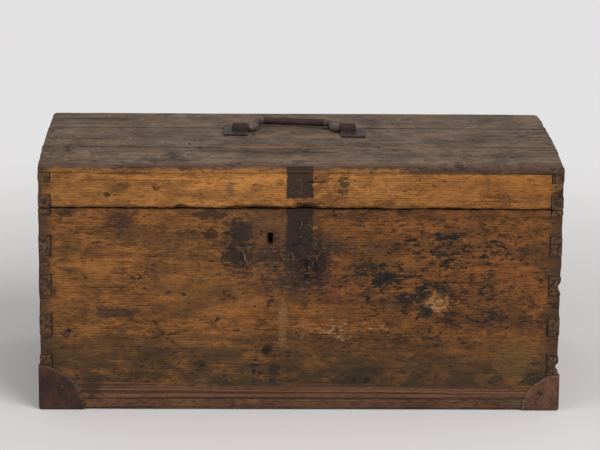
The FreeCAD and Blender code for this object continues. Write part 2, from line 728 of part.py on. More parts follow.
def bail_path():
    """Round bends join the pins' axis, the two leaning arms and the grip, lying back on the lid."""
    half = HANDLE_SPAN / 2 - HANDLE_PLAY
    corner = half - HANDLE_BEND
    grip = corner - HANDLE_TAPER
    corners = [
        V(HANDLE_X - half, HANDLE_Y, HANDLE_Z),
        V(HANDLE_X - corner, HANDLE_Y, HANDLE_Z),
        V(HANDLE_X - grip, HANDLE_Y + HANDLE_ARM_LEFT, HANDLE_Z),
        V(HANDLE_X + grip, HANDLE_Y + HANDLE_ARM_RIGHT, HANDLE_Z),
        V(HANDLE_X + corner, HANDLE_Y, HANDLE_Z),
        V(HANDLE_X + half, HANDLE_Y, HANDLE_Z),
    ]
    edges = []
    start = corners[0]
    for before, here, after in zip(corners, corners[1:], corners[2:]):
        back = (before - here).normalize()
        ahead = (after - here).normalize()
        half_angle = back.getAngle(ahead) / 2
        reach = HANDLE_BEND / math.tan(half_angle)
        inward = (back + ahead).normalize()
        middle = here + inward * (HANDLE_BEND / math.sin(half_angle) - HANDLE_BEND)
        edges.append(Part.LineSegment(start, here + back * reach).toShape())
        edges.append(Part.Arc(here + back * reach, middle, here + ahead * reach).toShape())
        start = here + ahead * reach
    edges.append(Part.LineSegment(start, corners[-1]).toShape())
    return Part.Wire(edges)


def handle_bail():
    """The bail of round bar, with a thinner pin at each end inside its strap's hump."""
    half = HANDLE_SPAN / 2 - HANDLE_PLAY
    reach = HANDLE_SPAN / 2 + HUMP_LENGTH - STRAP - HANDLE_PLAY
    section = Part.Wire(Part.makeCircle(HANDLE_BAR, V(HANDLE_X - half, HANDLE_Y, HANDLE_Z), V(1, 0, 0)))
    bail = bail_path().makePipeShell([section], True, False)
    for side in (-1, 1):
        root = V(HANDLE_X + side * half, HANDLE_Y, HANDLE_Z)
        tip = V(HANDLE_X + side * reach, HANDLE_Y, HANDLE_Z)
        bail = join(bail, rod(HANDLE_PIN, root, tip))
    return bail


def every_node():
    """Every piece of the chest under its own name."""
    nodes = {
        "front_board": front_board(),
        "back_board": back_board(),
        "left_end_board": end_board(-1),
        "right_end_board": end_board(1),
        "bottom_board_front": bottom_board(-Y_OUT, BOTTOM_FRONT_WIDTH - Y_OUT),
        "bottom_board_back": bottom_board(BOTTOM_FRONT_WIDTH - Y_OUT + PLANK_GAP, Y_OUT),
        "bottom_board_nails": nails(base_nail_sites()),
        "corner_cap_nails": nails(cap_nail_sites()),
        "body_hasp_nail_stubs": nails(stub_sites(BODY_STUBS)),
        "lock_plate": lock_plate(),
        "lock_case": lock_case(),
        "lock_bolt": lock_bolt(),
        "lock_spring": lock_spring(),
        "lock_nails": nails(lock_nail_sites()),
        "hinge_body_screws": Part.makeCompound(hinge_screws(-1)),
        "lid_front_rail": lid_front_rail(),
        "lid_back_rail": lid_back_rail(),
        "lid_left_end": lid_end(-1),
        "lid_right_end": lid_end(1),
        "lid_plank_front": lid_plank(0),
        "lid_plank_middle": lid_plank(1),
        "lid_plank_back": lid_plank(2),
        "lid_plank_nails": nails(lid_nail_sites()),
        "lid_hasp_nail_stubs": nails(stub_sites(LID_STUBS)),
        "lock_staple": lock_staple(),
        "lock_staple_nails": nails(staple_nail_sites()),
        "hinge_lid_screws": Part.makeCompound(hinge_screws(1)),
        "handle_strap_left": handle_strap(-1),
        "handle_strap_right": handle_strap(1),
        "handle_strap_nails": nails(strap_nail_sites()),
        "handle_bail": handle_bail(),
    }
    for side, hand in ((-1, "left"), (1, "right")):
        nodes["corner_cap_front_" + hand] = corner_cap(side, -1)
        nodes["corner_cap_back_" + hand] = corner_cap(side, 1)
    for x, hand in zip(HINGE_XS, ("left", "right")):
        nodes["hinge_body_leaf_" + hand] = hinge_leaf(x, False)
        nodes["hinge_lid_leaf_" + hand] = hinge_leaf(x, True)
        nodes["hinge_pin_" + hand] = hinge_pin(x)
    return nodes


os.makedirs("parts", exist_ok=True)
for name, shape in every_node().items():
    shape.exportStep("parts/" + name + ".step")
    print(name, len(shape.Solids), "solids", round(shape.Volume), "mm3", "valid" if shape.isValid() else "NOT VALID")
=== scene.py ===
"""An old pine collection chest: worn boards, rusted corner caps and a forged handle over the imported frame."""
import math

import bmesh
import bpy
import numpy as np
from mathutils import Matrix


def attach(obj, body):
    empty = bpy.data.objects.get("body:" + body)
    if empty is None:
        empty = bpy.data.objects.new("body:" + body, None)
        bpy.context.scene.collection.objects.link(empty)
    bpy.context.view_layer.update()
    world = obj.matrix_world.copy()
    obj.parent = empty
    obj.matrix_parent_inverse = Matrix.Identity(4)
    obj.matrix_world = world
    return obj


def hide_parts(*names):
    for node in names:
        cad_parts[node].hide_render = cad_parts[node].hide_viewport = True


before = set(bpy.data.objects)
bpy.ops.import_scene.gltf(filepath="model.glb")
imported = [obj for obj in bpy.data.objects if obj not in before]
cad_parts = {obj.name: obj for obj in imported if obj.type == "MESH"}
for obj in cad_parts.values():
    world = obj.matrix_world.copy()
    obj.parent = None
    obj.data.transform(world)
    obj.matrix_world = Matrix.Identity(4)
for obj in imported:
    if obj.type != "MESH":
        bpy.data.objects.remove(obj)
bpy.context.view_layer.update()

# Lengths are in millimetres; meshes and shader sockets take metres
MM = 0.001

# Carcase
X_OUT = 300.0  # half the width over the end boards
Y_OUT = 150.0  # half the depth over the front and back boards
BOARD = 14.0  # thickness of the upright boards
X_IN = X_OUT - BOARD
Y_IN = Y_OUT - BOARD
WOOD_BASE = 1.6  # underside of the bottom planks
BOTTOM_BOARD = 11.5
CARCASE_BASE = WOOD_BASE + BOTTOM_BOARD
SEAM = 240.1  # where lid and body part
LID_EDGE = 281.1  # under the planks at the lid's front and back
CAMBER = 5.0
TOP_PLANK = 8.0
FRONT_ARRIS = -65.0  # joint of the front and the middle plank
BACK_ARRIS = 40.0  # joint of the middle and the back plank
END_OVERHANG = 0.8
NOSING = 5.5
PLANK_GAP = 0.15  # half of the gap between two planks of the lid
BOTTOM_EDGES = (-2.0, -1.7)  # back of the front bottom plank, front of the back one

# Spans of the upright boards
WIDE = (-X_OUT, X_OUT)
LONG = (-Y_OUT, Y_OUT)
BODY = (CARCASE_BASE, SEAM)
RAIL = (SEAM, LID_EDGE)
LID_END = (SEAM, LID_EDGE + CAMBER)

# Dovetails
PIN_HEIGHT = 24.0
PIN_PITCH = 47.5
PIN_TOPS = [256.1 - PIN_PITCH * step for step in range(6)]
LID_PIN_BASE = 270.6
DOVETAIL_SLOPE = 0.1
PIN_FIT = 0.15
SHOULDER_GAP = 0.6

# Seam at the back
HINGE_XS = (-190.0, 190.0)
HINGE_HALF = 22.3
HINGE_SINK = 1.5
BACK_GROOVE = 3.0
BEVEL_RISE = 3.91
BEVEL_SPARE = 0.4  # by which the ends' bevels are larger than the back's
HINGE_GROOVE = 6.2  # depth of the bevel at the hinges

# Keyhole
KEYHOLE_X = -35.0
KEYHOLE_Z = 208.9
KEYHOLE_FOOT = 199.3
KEYHOLE_ROUND = 2.9
KEYHOLE_SLOT = 2.2
KEYHOLE_WIDEST = (-2.0, 2.2)  # from the middle of the round, down and up

# Iron
CAP_SHEET = 1.6
CAP_RADII = {"left": 54.0, "right": 44.0}
HANDLE_X = -5.5
HANDLE_Y = 17.0
HANDLE_Z = 299.1
HANDLE_HALF = 54.65
HANDLE_BAR = 4.5
HANDLE_PIN = 3.5
HANDLE_BEND = 7.0
HANDLE_TAPER = 5.0
HANDLE_ARMS = {"left": 41.0, "right": 28.0}
HANDLE_REACH = 72.15
LID_TOP = LID_EDGE + CAMBER + TOP_PLANK
STRAP = 2.0
HUMP_HALF = 5.8
HUMP_LENGTH = 19.5
STRAP_INNER = 55.25  # from the handle's middle to a strap's inner edge
STRAP_LENGTH = 28.5
STRAP_SHEET = 1.7  # thickness under the worn top of a strap
NAIL_SINK = 0.35  # depth of the lid's nail heads below the planks' tops

# Grids of the worn meshes
LAYERS = 4  # of points, from a board's outer face to its inner face
FINE_STEP = 0.4  # first step from an edge
STEP_GROWTH = 1.5  # from one step to the next
GROWING_SHARE = 0.45  # of a gap that growing steps may take from each side
MIN_STEP = 0.3  # from a board's edge to the nearest void's edge
RIPPLE_CELLS = 64
RIPPLE_START = (31.7, 17.3)
HOLE_EDGE = 0.8  # rounding of a hole in the outer face
INNER_HOLE_EDGE = 0.5  # and in the inner face
BAIL_STEPS = 150  # along the bail
BEND_STEPS = 9  # along each of its bends
PIN_STEPS = 6  # along each of its pins
BAIL_SIDES = 28  # round its section
ARCH_STEPS = 15  # over the hump of a strap
FLAT_STEPS = 12  # along a flat of a strap
SHARP = 40.0  # degrees at which an edge is shaded sharp
BAIL_SHARP = 50.0


# Random but repeatable shapes

def soften(t):
    """An S-curve from 0 to 1."""
    return t * t * (3 - 2 * t)


def ripple(u, v, long, short, seed):
    """Smooth random heights from 0 to 1.

    The corners of cells, long by short, have random heights, and the height between them is eased.
    """
    heights = np.random.default_rng(seed).random((RIPPLE_CELLS, RIPPLE_CELLS))
    a = u / long + RIPPLE_START[0]
    b = v / short + RIPPLE_START[1]
    i = np.floor(a).astype(int)
    j = np.floor(b).astype(int)
    s = soften(a - i)
    t = soften(b - j)
    i, next_i = i % RIPPLE_CELLS, (i + 1) % RIPPLE_CELLS
    j, next_j = j % RIPPLE_CELLS, (j + 1) % RIPPLE_CELLS
    near = heights[i, j] * (1 - t) + heights[i, next_j] * t
    far = heights[next_i, j] * (1 - t) + heights[next_i, next_j] * t
    return near * (1 - s) + far * s


def ease(value, low, high):
    """0 below low, 1 above high, and an S-curve between."""
    return soften(np.clip((value - low) / (high - low), 0, 1))


def round_over(distance, radius):
    """Depth of a quarter-round edge: radius minus the circle's height, at a distance from the edge."""
    t = np.clip(1 - distance / radius, 0, 1)
    return radius * (1 - np.sqrt(1 - t * t))


# Meshes

def new_object(name, data):
    """A new object, linked into the scene."""
    thing = bpy.data.objects.new(name, data)
    bpy.context.scene.collection.objects.link(thing)
    return thing


def make_piece(node, stuff, points, faces, finish, body, sharp, marks):
    """A mesh from arrays of points and quads, set on its body in place of its CAD node."""
    name = node + "_" + stuff
    mesh = bpy.data.meshes.new(name)
    sides = faces.shape[1]
    mesh.vertices.add(len(points))
    mesh.vertices.foreach_set("co", (points * MM).astype(np.float32).ravel())
    mesh.loops.add(faces.size)
    mesh.loops.foreach_set("vertex_index", faces.astype(np.int32).ravel())
    mesh.polygons.add(len(faces))
    mesh.polygons.foreach_set("loop_start", np.arange(0, faces.size, sides, dtype=np.int32))
    mesh.update(calc_edges=True)
    for label, values in marks.items():
        layer = mesh.attributes.new(label, "FLOAT", "POINT")
        layer.data.foreach_set("value", values.astype(np.float32))
    piece = new_object(name, mesh)
    mesh.materials.append(finish)
    mesh.shade_smooth()
    mesh.set_sharp_from_angle(angle=math.radians(sharp))
    seat(piece, body, node)
    return piece


def seat(piece, body, node):
    """Puts a piece on its moving body, in place of its CAD node."""
    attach(piece, body)
    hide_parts(node)


def close_up(piece):
    """Merges doubled points and turns all faces outwards."""
    work = bmesh.new()
    work.from_mesh(piece.data)
    bmesh.ops.remove_doubles(work, verts=work.verts, dist=1e-6)
    bmesh.ops.recalc_face_normals(work, faces=work.faces)
    work.to_mesh(piece.data)
    work.free()


def grid_quads(index):
    """Quads between the neighbours of a grid of point numbers."""
    corners = [index[:-1, :-1], index[1:, :-1], index[1:, 1:], index[:-1, 1:]]
    return np.stack(corners, -1).reshape(-1, 4)


def graded(stops, coarse):
    """Grid lines from stop to stop: steps grow from fine at each stop to coarse between them."""
    count = int(math.log(coarse / FINE_STEP) / math.log(STEP_GROWTH)) + 1
    reach = np.cumsum(FINE_STEP * STEP_GROWTH ** np.arange(count))
    lines = [[stops[0]]]
    for low, high in zip(stops, stops[1:]):
        near = reach[reach < GROWING_SHARE * (high - low)]
        edge = near[-1] if near.size else 0.0
        inner = max(2, round((high - low - 2 * edge) / coarse) + 1)
        middle = np.linspace(low + edge, high - edge, inner)[1:-1]
        lines += [low + near, middle, (high - near)[::-1], [high]]
    return np.concatenate(lines)


def stops_of(span, voids, first):
    """Ends of a span and the edges of the voids inside it; first is 0 for u and 2 for v."""
    edges = [void[first + side] for void in voids for side in (0, 1)]
    inside = [edge for edge in edges if span[0] + MIN_STEP < edge < span[1] - MIN_STEP]
    return sorted(set(np.round([*span, *inside], 3)))


def solid_cells(u, v, voids):
    """Which cells of a grid hold wood: those whose middle is in no void."""
    middle_u = (u[1:, 1:] + u[:-1, 1:]) / 2
    middle_v = (v[1:, 1:] + v[1:, :-1]) / 2
    solid = np.ones(middle_u.shape, bool)
    for u0, u1, v0, v1 in voids:
        solid &= ~((middle_u > u0) & (middle_u < u1) & (middle_v > v0) & (middle_v < v1))
    return solid


def slab_faces(solid):
    """Quads of a slab over a grid of cells.

    Each solid cell has a face at the top and one underneath, and walls stand where solid meets empty.
    """
    rows, columns = solid.shape[0] + 1, solid.shape[1] + 1
    index = np.arange(LAYERS * rows * columns).reshape(LAYERS, rows, columns)
    i, j = np.nonzero(solid)
    top = index[0]
    under = index[-1]
    quads = [np.stack([top[i, j], top[i + 1, j], top[i + 1, j + 1], top[i, j + 1]], 1)]
    quads.append(np.stack([under[i, j], under[i, j + 1], under[i + 1, j + 1], under[i + 1, j]], 1))
    padded = np.pad(solid, 1).astype(int)
    for axis in (0, 1):
        change = np.diff(padded, axis=axis)
        change = change[:, 1:-1] if axis == 0 else change[1:-1, :]
        for sign in (1, -1):
            a, b = np.nonzero(change == sign)
            start = (a, b)
            end = (a, b + 1) if axis == 0 else (a + 1, b)
            if (sign == 1) == (axis == 0):
                start, end = end, start
            for upper, lower in zip(index, index[1:]):
                quads.append(np.stack([upper[end], upper[start], lower[start], lower[end]], 1))
    return np.concatenate(quads)


def edge_distance(u, v, spans, voids):
    """Distance to each of the four outer edges, and to the nearest void."""
    outer = [u - spans[0][0], spans[0][1] - u, v - spans[1][0], spans[1][1] - v]
    holes = np.full(u.shape, 1e3)
    for u0, u1, v0, v1 in voids:
        across = np.maximum(np.maximum(u0 - u, u - u1), 0)
        up = np.maximum(np.maximum(v0 - v, v - v1), 0)
        holes = np.minimum(holes, np.hypot(across, up))
    return outer, holes


def knock_off_corners(u, v, spans, radii):
    """Rounds a board's outer corners in its own plane: a square at each is drawn onto a quarter disc."""
    for (a, b), radius in radii.items():
        u_sign = 1 if a == 0 else -1
        v_sign = 1 if b == 0 else -1
        s = np.clip(1 - (u - spans[0][a]) * u_sign / radius, 0, 1)
        t = np.clip(1 - (v - spans[1][b]) * v_sign / radius, 0, 1)
        inside = (s > 0) & (t > 0)
        new_s = s * np.sqrt(1 - t * t / 2)
        new_t = t * np.sqrt(1 - s * s / 2)
        u = np.where(inside, spans[0][a] + (1 - new_s) * radius * u_sign, u)
        v = np.where(inside, spans[1][b] + (1 - new_t) * radius * v_sign, v)
    return u, v


def sunk_face(u, v, outer, holes, wear, hollow, seed):
    """Depth of a board's outer face: rounded edges, slow ripples along the grain and its own hollows."""
    face = round_over(holes, HOLE_EDGE)
    for number, (distance, radius) in enumerate(zip(outer, wear)):
        along = v if number < 2 else u
        uneven = 0.55 + 0.9 * ripple(along, along * 0, 28.0, 9.0, seed + 3 + number)
        face = np.maximum(face, round_over(distance, radius * uneven))
    face = face + 0.35 * ripple(u, v, 160.0, 14.0, seed + 11) + 0.25 * ripple(u, v, 30.0, 8.0, seed + 12)
    return face + hollow(u, v) if hollow else face


def board_marks(outer, holes):
    """What a board's finish reads at each point: near an edge, on the inner face, at the board's ends."""
    near = np.minimum(np.minimum.reduce(outer), holes).ravel()
    ends = np.minimum(outer[0], outer[1]).ravel()
    return {
        "edge": np.tile(np.exp(-near / 3.0), LAYERS),
        "inside": np.concatenate([np.zeros(near.size * (LAYERS - 1)), ease(near, 1.0, 4.0)]),
        "end": np.tile(1 - ease(ends, 0.5, 3.0), LAYERS),
    }


def right_handed(lay):
    """Whether a board's own axes u, v and w turn as X, Y and Z do."""
    start = np.ravel(lay(*np.zeros((3, 1))))
    axes = [np.ravel(lay(*step)) - start for step in np.eye(3)[:, :, None]]
    return np.linalg.det(axes) > 0


def worn_board(node, seed, finish, body, lay, spans, depth, wear, voids=(), hollow=None, shift=None,
               step=4.0, corners=None, under=1.0):
    """A board as a slab on a grid.

    Its outer face sinks by the round-over of each edge, by slow ripples along the grain and by its own
    hollows. Its walls join the two faces, and its edges wander inwards by a ripple that fades over a few
    millimetres. Wear holds the rounding of its low and high edge in u, then in v.
    """
    u_lines = graded(stops_of(spans[0], voids, 0), step)
    v_lines = graded(stops_of(spans[1], voids, 2), step)
    u, v = np.meshgrid(u_lines, v_lines, indexing="ij")
    outer, holes = edge_distance(u, v, spans, voids)
    face = sunk_face(u, v, outer, holes, wear, hollow, seed)
    back = np.maximum(round_over(np.minimum.reduce(outer), under), round_over(holes, INNER_HOLE_EDGE))
    u_wander, v_wander = wander(u, v, outer, wear, seed)
    u_out, v_out = knock_off_corners(u + u_wander, v + v_wander, spans, corners or {})
    points = []
    for k in range(LAYERS):
        w = face + (depth - back - face) * k / (LAYERS - 1)
        u_k, v_k = shift(u_out, v_out, w) if shift else (u_out, v_out)
        points.append(np.stack(lay(u_k, v_k, w), -1).reshape(-1, 3))
    faces = slab_faces(solid_cells(u, v, voids))
    if right_handed(lay):
        faces = faces[:, ::-1]
    used, faces = np.unique(faces, return_inverse=True)
    points = np.concatenate(points)[used]
    marks = {label: values[used] for label, values in board_marks(outer, holes).items()}
    make_piece(node, "wood", points, faces.reshape(-1, 4), finish, body, SHARP, marks)


def wander(u, v, outer, wear, seed):
    """How far a board's edges wander inwards: a ripple along each edge, fading over a few millimetres."""
    fade = 8.0
    u_move = np.zeros(u.shape)
    v_move = np.zeros(u.shape)
    for number, (distance, radius) in enumerate(zip(outer, wear)):
        along = v if number < 2 else u
        ragged = 0.7 * ripple(along, along * 0, 45.0, 9.0, seed + 21 + number)
        ragged = ragged + 0.5 * ripple(along, along * 0, 9.0, 9.0, seed + 31 + number)
        amount = 0.6 * radius * ragged * np.clip(1 - distance / fade, 0, 1) ** 2
        if number < 2:
            u_move = u_move + amount * (1 if number == 0 else -1)
        else:
            v_move = v_move + amount * (1 if number == 2 else -1)
    return u_move, v_move


def dent(u, v, u0, v0, long, tall, deep, seed):
    """A ragged hollow: a bell of the distance from its middle, broken up by a ripple."""
    broken = 0.9 * (ripple(u, v, long / 2, tall / 2, seed) - 0.5)
    reach = np.hypot((u - u0) / long, (v - v0) / tall) + broken
    return deep * (1 - ease(reach, 0.35, 1.0))


def dents(u, v, table):
    """The sum of the dents in a table."""
    deep = np.zeros(u.shape)
    for row in table:
        deep = deep + dent(u, v, *row)
    return deep


# Dovetails

def pin_bands(low, high):
    """Heights of the dovetail pins between two heights."""
    bands = [(top - PIN_HEIGHT, top) for top in PIN_TOPS] + [(LID_PIN_BASE, LID_PIN_BASE + PIN_HEIGHT)]
    return sorted((max(a, low), min(b, high)) for a, b in bands if b > low and a < high)


def lean(v, low, high):
    """Which way a pin's sides lean in: +1 at its foot, -1 at its top and straight lines between."""
    heights = []
    signs = []
    for a, b in pin_bands(low, high):
        heights += [a, b]
        signs += [0.0 if a == low else 1.0, 0.0 if b == high else -1.0]
    return np.interp(v, heights, signs)


def socket_voids(low, high):
    """The sockets that the pins fill at both ends of a front or back board."""
    voids = []
    for a, b in pin_bands(low, high):
        bottom = low - 1 if a == low else a - PIN_FIT
        top = high + 1 if b == high else b + PIN_FIT
        voids.append((-X_OUT - 1, -X_IN + SHOULDER_GAP, bottom, top))
        voids.append((X_IN - SHOULDER_GAP, X_OUT + 1, bottom, top))
    return voids


def tail_voids(low, high):
    """The waste between the pins at both ends of an end board, where the tails go."""
    voids = []
    bands = pin_bands(low, high)
    floors = [low - 1] + [b for a, b in bands]
    tops = [a for a, b in bands] + [high + 1]
    for bottom, top in zip(floors, tops):
        if top - bottom > 1.5:
            voids.append((-Y_OUT - 1, -Y_IN, bottom, top))
            voids.append((Y_IN, Y_OUT + 1, bottom, top))
    return voids


def lean_of_sockets(low, high):
    """The sides of a socket lean in towards the board's end."""
    def shift(u, v, w):
        run = np.maximum(np.abs(u) - X_IN, 0)
        return u, v + lean(v, low, high) * DOVETAIL_SLOPE * run
    return shift


def lean_of_pins(low, high, crown=None):
    """The sides of a pin lean in towards the outer face; a lid end's top follows the planks."""
    def shift(u, v, w):
        run = np.where(np.abs(u) > Y_IN - 0.01, BOARD - w, 0)
        v = v + lean(v, low, high) * DOVETAIL_SLOPE * run
        if crown:
            start = LID_PIN_BASE + 2
            v = np.where(v > start, start + (v - start) * (crown(u) - start) / (high - start), v)
        return u, v
    return shift


def plank_foot(y):
    """Underside of the lid's planks: rising to the flat middle from the front edge and from the back edge."""
    front = LID_EDGE + CAMBER * (y + Y_OUT) / (FRONT_ARRIS + Y_OUT)
    back = LID_EDGE + CAMBER * (Y_OUT - y) / (Y_OUT - BACK_ARRIS)
    return np.minimum(np.minimum(front, back), LID_EDGE + CAMBER)


# How each board lies: u along it, v across it, w into it from its outer face

def lay_front(u, v, w):
    return u, -Y_OUT + w, v


def lay_back(u, v, w):
    return u, Y_OUT - w, v


def lay_left(u, v, w):
    return -X_OUT + w, u, v


def lay_right(u, v, w):
    return X_OUT - w, u, v


def lay_bottom(u, v, w):
    return u, v, WOOD_BASE + w


def lay_plank(u, v, w):
    return u, v, plank_foot(v) + TOP_PLANK - w


def back_bevel(sign):
    """The bevel along the back of the seam, deeper at the hinges; sign is -1 below the seam, 1 above."""
    def hollow(u, v):
        at_hinge = np.zeros(u.shape)
        for x in HINGE_XS:
            at_hinge = np.maximum(at_hinge, 1 - ease(np.abs(u - x), HINGE_HALF, HINGE_HALF + 1.5))
        deep = BACK_GROOVE + (HINGE_GROOVE - BACK_GROOVE) * at_hinge
        return deep * np.clip(1 - (v - SEAM) * sign / BEVEL_RISE, 0, 1)
    return hollow


def bevel_behind(sign, lean_in):
    """The same bevel at the back of an end board: its seam edge drops away over the last few millimetres."""
    def shift(u, v, w):
        u, v = lean_in(u, v, w)
        run = BACK_GROOVE + BEVEL_SPARE
        drop = (BEVEL_RISE + BEVEL_SPARE) * np.clip((u - Y_OUT + run) / run, 0, 1)
        return u, sign * np.maximum(sign * v, sign * SEAM + drop)
    return shift


def hinge_seat(sign, lean_in):
    """Lowers the seam edge of a back board at the hinges, for their leaves."""
    def shift(u, v, w):
        for x in HINGE_XS:
            there = (np.abs(u - x) < HINGE_HALF) & (np.abs(v - SEAM) < HINGE_SINK)
            v = np.where(there, SEAM + sign * HINGE_SINK, v)
        return lean_in(u, v, w)
    return shift


# Node trees

class Recipe:
    """A node tree being written: each method adds a node and hands back its output."""

    def __init__(self, tree):
        self.tree = tree

    def add(self, kind, sockets=None, **settings):
        """A new node with its settings; a socket takes a number, a colour or another node's output."""
        node = self.tree.nodes.new(kind)
        for label, value in settings.items():
            setattr(node, label, value)
        for label, value in (sockets or {}).items():
            if isinstance(value, bpy.types.NodeSocket):
                self.tree.links.new(value, node.inputs[label])
            else:
                node.inputs[label].default_value = value
        return node

    def maths(self, operation, *values):
        return self.add("ShaderNodeMath", dict(enumerate(values)), operation=operation).outputs[0]

    def times(self, product, *factors):
        for factor in factors:
            product = self.maths("MULTIPLY", product, factor)
        return product

    def vector(self, operation, *values):
        node = self.add("ShaderNodeVectorMath", dict(enumerate(values)), operation=operation)
        return node.outputs["Value" if operation in ("LENGTH", "DOT_PRODUCT") else "Vector"]

    def blend(self, mask, under, over, kind="MIX"):
        sockets = {0: mask, 6: under, 7: over}
        return self.add("ShaderNodeMix", sockets, data_type="RGBA", blend_type=kind).outputs[2]

    def ease(self, value, low, high, start=0.0, end=1.0):
        sockets = {"Value": value, "From Min": low, "From Max": high, "To Min": start, "To Max": end}
        return self.add("ShaderNodeMapRange", sockets, interpolation_type="SMOOTHSTEP").outputs[0]

    def noise(self, coords, stretch, detail=2.0, roughness=0.5):
        """Noise whose cells are 1/stretch long each way, in metres."""
        sockets = {"Vector": self.vector("MULTIPLY", coords, stretch), "Scale": 1.0, "Detail": detail,
                   "Roughness": roughness}
        return self.add("ShaderNodeTexNoise", sockets).outputs[0]

    def counted(self, coords, size):
        """Coordinates counted in a size."""
        each_way = self.add("ShaderNodeCombineXYZ", {0: size, 1: size, 2: size}).outputs[0]
        return self.vector("DIVIDE", coords, each_way)

    def use(self, group, **sockets):
        named = {label.replace("_", " ").title(): value for label, value in sockets.items()}
        return self.add("ShaderNodeGroup", named, node_tree=group).outputs

    def attribute(self, label):
        return self.add("ShaderNodeAttribute", attribute_name=label).outputs["Fac"]


ORIGIN = (0.0, 0.0, 0.0)


def tone(red, green, blue):
    """A display colour from 0 to 255 as the linear colour that a shader takes."""
    linear = []
    for level in (red, green, blue):
        share = level / 255
        linear.append(share / 12.92 if level <= 10 else ((share + 0.055) / 1.055) ** 2.4)
    return (*linear, 1.0)


def new_material(name):
    """A material with an empty node tree, and the recipe to fill it."""
    material = bpy.data.materials.new(name)
    material.use_nodes = True
    material.node_tree.nodes.clear()
    return material, Recipe(material.node_tree)


def new_effect(name, takes, gives):
    """An empty node group with named inputs and outputs, and the recipe to fill it."""
    group = bpy.data.node_groups.new(name, "ShaderNodeTree")
    for label, value in takes.items():
        kind = "NodeSocketVector" if isinstance(value, tuple) else "NodeSocketFloat"
        socket = group.interface.new_socket(label, in_out="INPUT", socket_type=kind)
        socket.default_value = value
    for label in gives:
        group.interface.new_socket(label, in_out="OUTPUT", socket_type="NodeSocketFloat")
    recipe = Recipe(group)
    given = recipe.add("NodeGroupInput").outputs
    return group, recipe, given


def finish_effect(group, recipe, **outputs):
    """Closes a node group with its outputs."""
    named = {label.title(): value for label, value in outputs.items()}
    recipe.add("NodeGroupOutput", named)
    return group


def pine_grain_effect():
    """Grain along X: dark lines of growth rings, broad streaks, fine fibre, mottling and short dashes."""
    takes = {"Vector": ORIGIN, "Ring Spacing": 0.004, "Waviness": 0.004}
    gives = ("Rings", "Streaks", "Fibre", "Mottle", "Dashes")
    group, recipe, given = new_effect("pine grain", takes, gives)
    coords = given["Vector"]
    place = recipe.add("ShaderNodeSeparateXYZ", {0: coords}).outputs
    slow = recipe.noise(coords, (5.0, 16.0, 16.0), 3.0)
    warp = recipe.times(recipe.maths("SUBTRACT", slow, 0.5), given["Waviness"])
    across = recipe.maths("ADD", recipe.maths("ADD", place["Y"], place["Z"]), recipe.times(warp, 6.0))
    turns = recipe.maths("DIVIDE", across, given["Ring Spacing"])
    line = recipe.ease(recipe.maths("SINE", recipe.times(turns, 2 * math.pi)), 0.0, 1.0)
    fade = recipe.ease(recipe.noise(coords, (9.0, 70.0, 70.0), 2.0), 0.35, 0.65)
    rings = recipe.times(line, fade)
    streaks = recipe.noise(coords, (5.0, 90.0, 90.0), 5.0, 0.65)
    fibre = recipe.noise(coords, (40.0, 1100.0, 1100.0), 2.0, 0.6)
    mottle = recipe.noise(coords, (42.0, 110.0, 110.0), 7.0, 0.74)
    short = recipe.noise(coords, (110.0, 480.0, 480.0), 5.0, 0.7)
    patchy = recipe.noise(coords, (16.0, 30.0, 30.0), 3.0)
    dashes = recipe.ease(recipe.maths("MULTIPLY_ADD", patchy, 0.4, short), 0.625, 0.575)
    return finish_effect(
        group, recipe, rings=rings, streaks=streaks, fibre=fibre, mottle=mottle, dashes=dashes)


def round_distance(recipe, offset):
    """How far out of a round spot a place is, in the spot's reach."""
    return recipe.vector("LENGTH", offset)


def box_distance(recipe, offset):
    """How far out of a box a place is, in the box's reach."""
    sides = recipe.add("ShaderNodeSeparateXYZ", {0: recipe.vector("ABSOLUTE", offset)}).outputs
    return recipe.maths("MAXIMUM", recipe.maths("MAXIMUM", sides["X"], sides["Y"]), sides["Z"])


def spot_effect(name, distance_of, grain, detail, roughness, rim):
    """A spot: 1 round its centre, falling to 0 at its reach, with a ragged rim."""
    takes = {"Vector": ORIGIN, "Centre": ORIGIN, "Reach": (0.01, 0.01, 0.01), "Ragged": 0.5}
    group, recipe, given = new_effect(name, takes, ("Mask",))
    offset = recipe.vector("SUBTRACT", given["Vector"], given["Centre"])
    distance = distance_of(recipe, recipe.vector("DIVIDE", offset, given["Reach"]))
    rough = recipe.noise(given["Vector"], grain, detail, roughness)
    rough = recipe.times(recipe.maths("SUBTRACT", rough, 0.5), given["Ragged"])
    mask = recipe.ease(recipe.maths("MULTIPLY_ADD", rough, 3.0, distance), *rim, 1.0, 0.0)
    return finish_effect(group, recipe, mask=mask)


def old_fleck_effect():
    """Flecks of dark old paint and dirt in the grain: fine noise above a level, long along X, in herds."""
    takes = {"Vector": ORIGIN, "Size": 0.006, "Level": 0.6}
    group, recipe, given = new_effect("old flecks", takes, ("Mask",))
    scaled = recipe.counted(given["Vector"], given["Size"])
    cells = recipe.noise(scaled, (0.55, 1.3, 1.3), 8.0, 0.74)
    herds = recipe.noise(scaled, (0.14, 0.26, 0.26), 2.0)
    crowded = recipe.maths("MULTIPLY_ADD", recipe.maths("SUBTRACT", herds, 0.5), 0.42, cells)
    above = recipe.maths("SUBTRACT", crowded, given["Level"])
    return finish_effect(group, recipe, mask=recipe.ease(above, 0.004, 0.02))


def grime_effect():
    """Broad uneven dirt: slow noise eased to a mask."""
    takes = {"Vector": ORIGIN, "Size": 0.08, "Level": 0.5}
    group, recipe, given = new_effect("grime", takes, ("Mask",))
    slow = recipe.noise(recipe.counted(given["Vector"], given["Size"]), (0.6, 1.4, 1.4), 8.0, 0.7)
    above = recipe.maths("SUBTRACT", slow, given["Level"])
    return finish_effect(group, recipe, mask=recipe.ease(above, -0.06, 0.12))


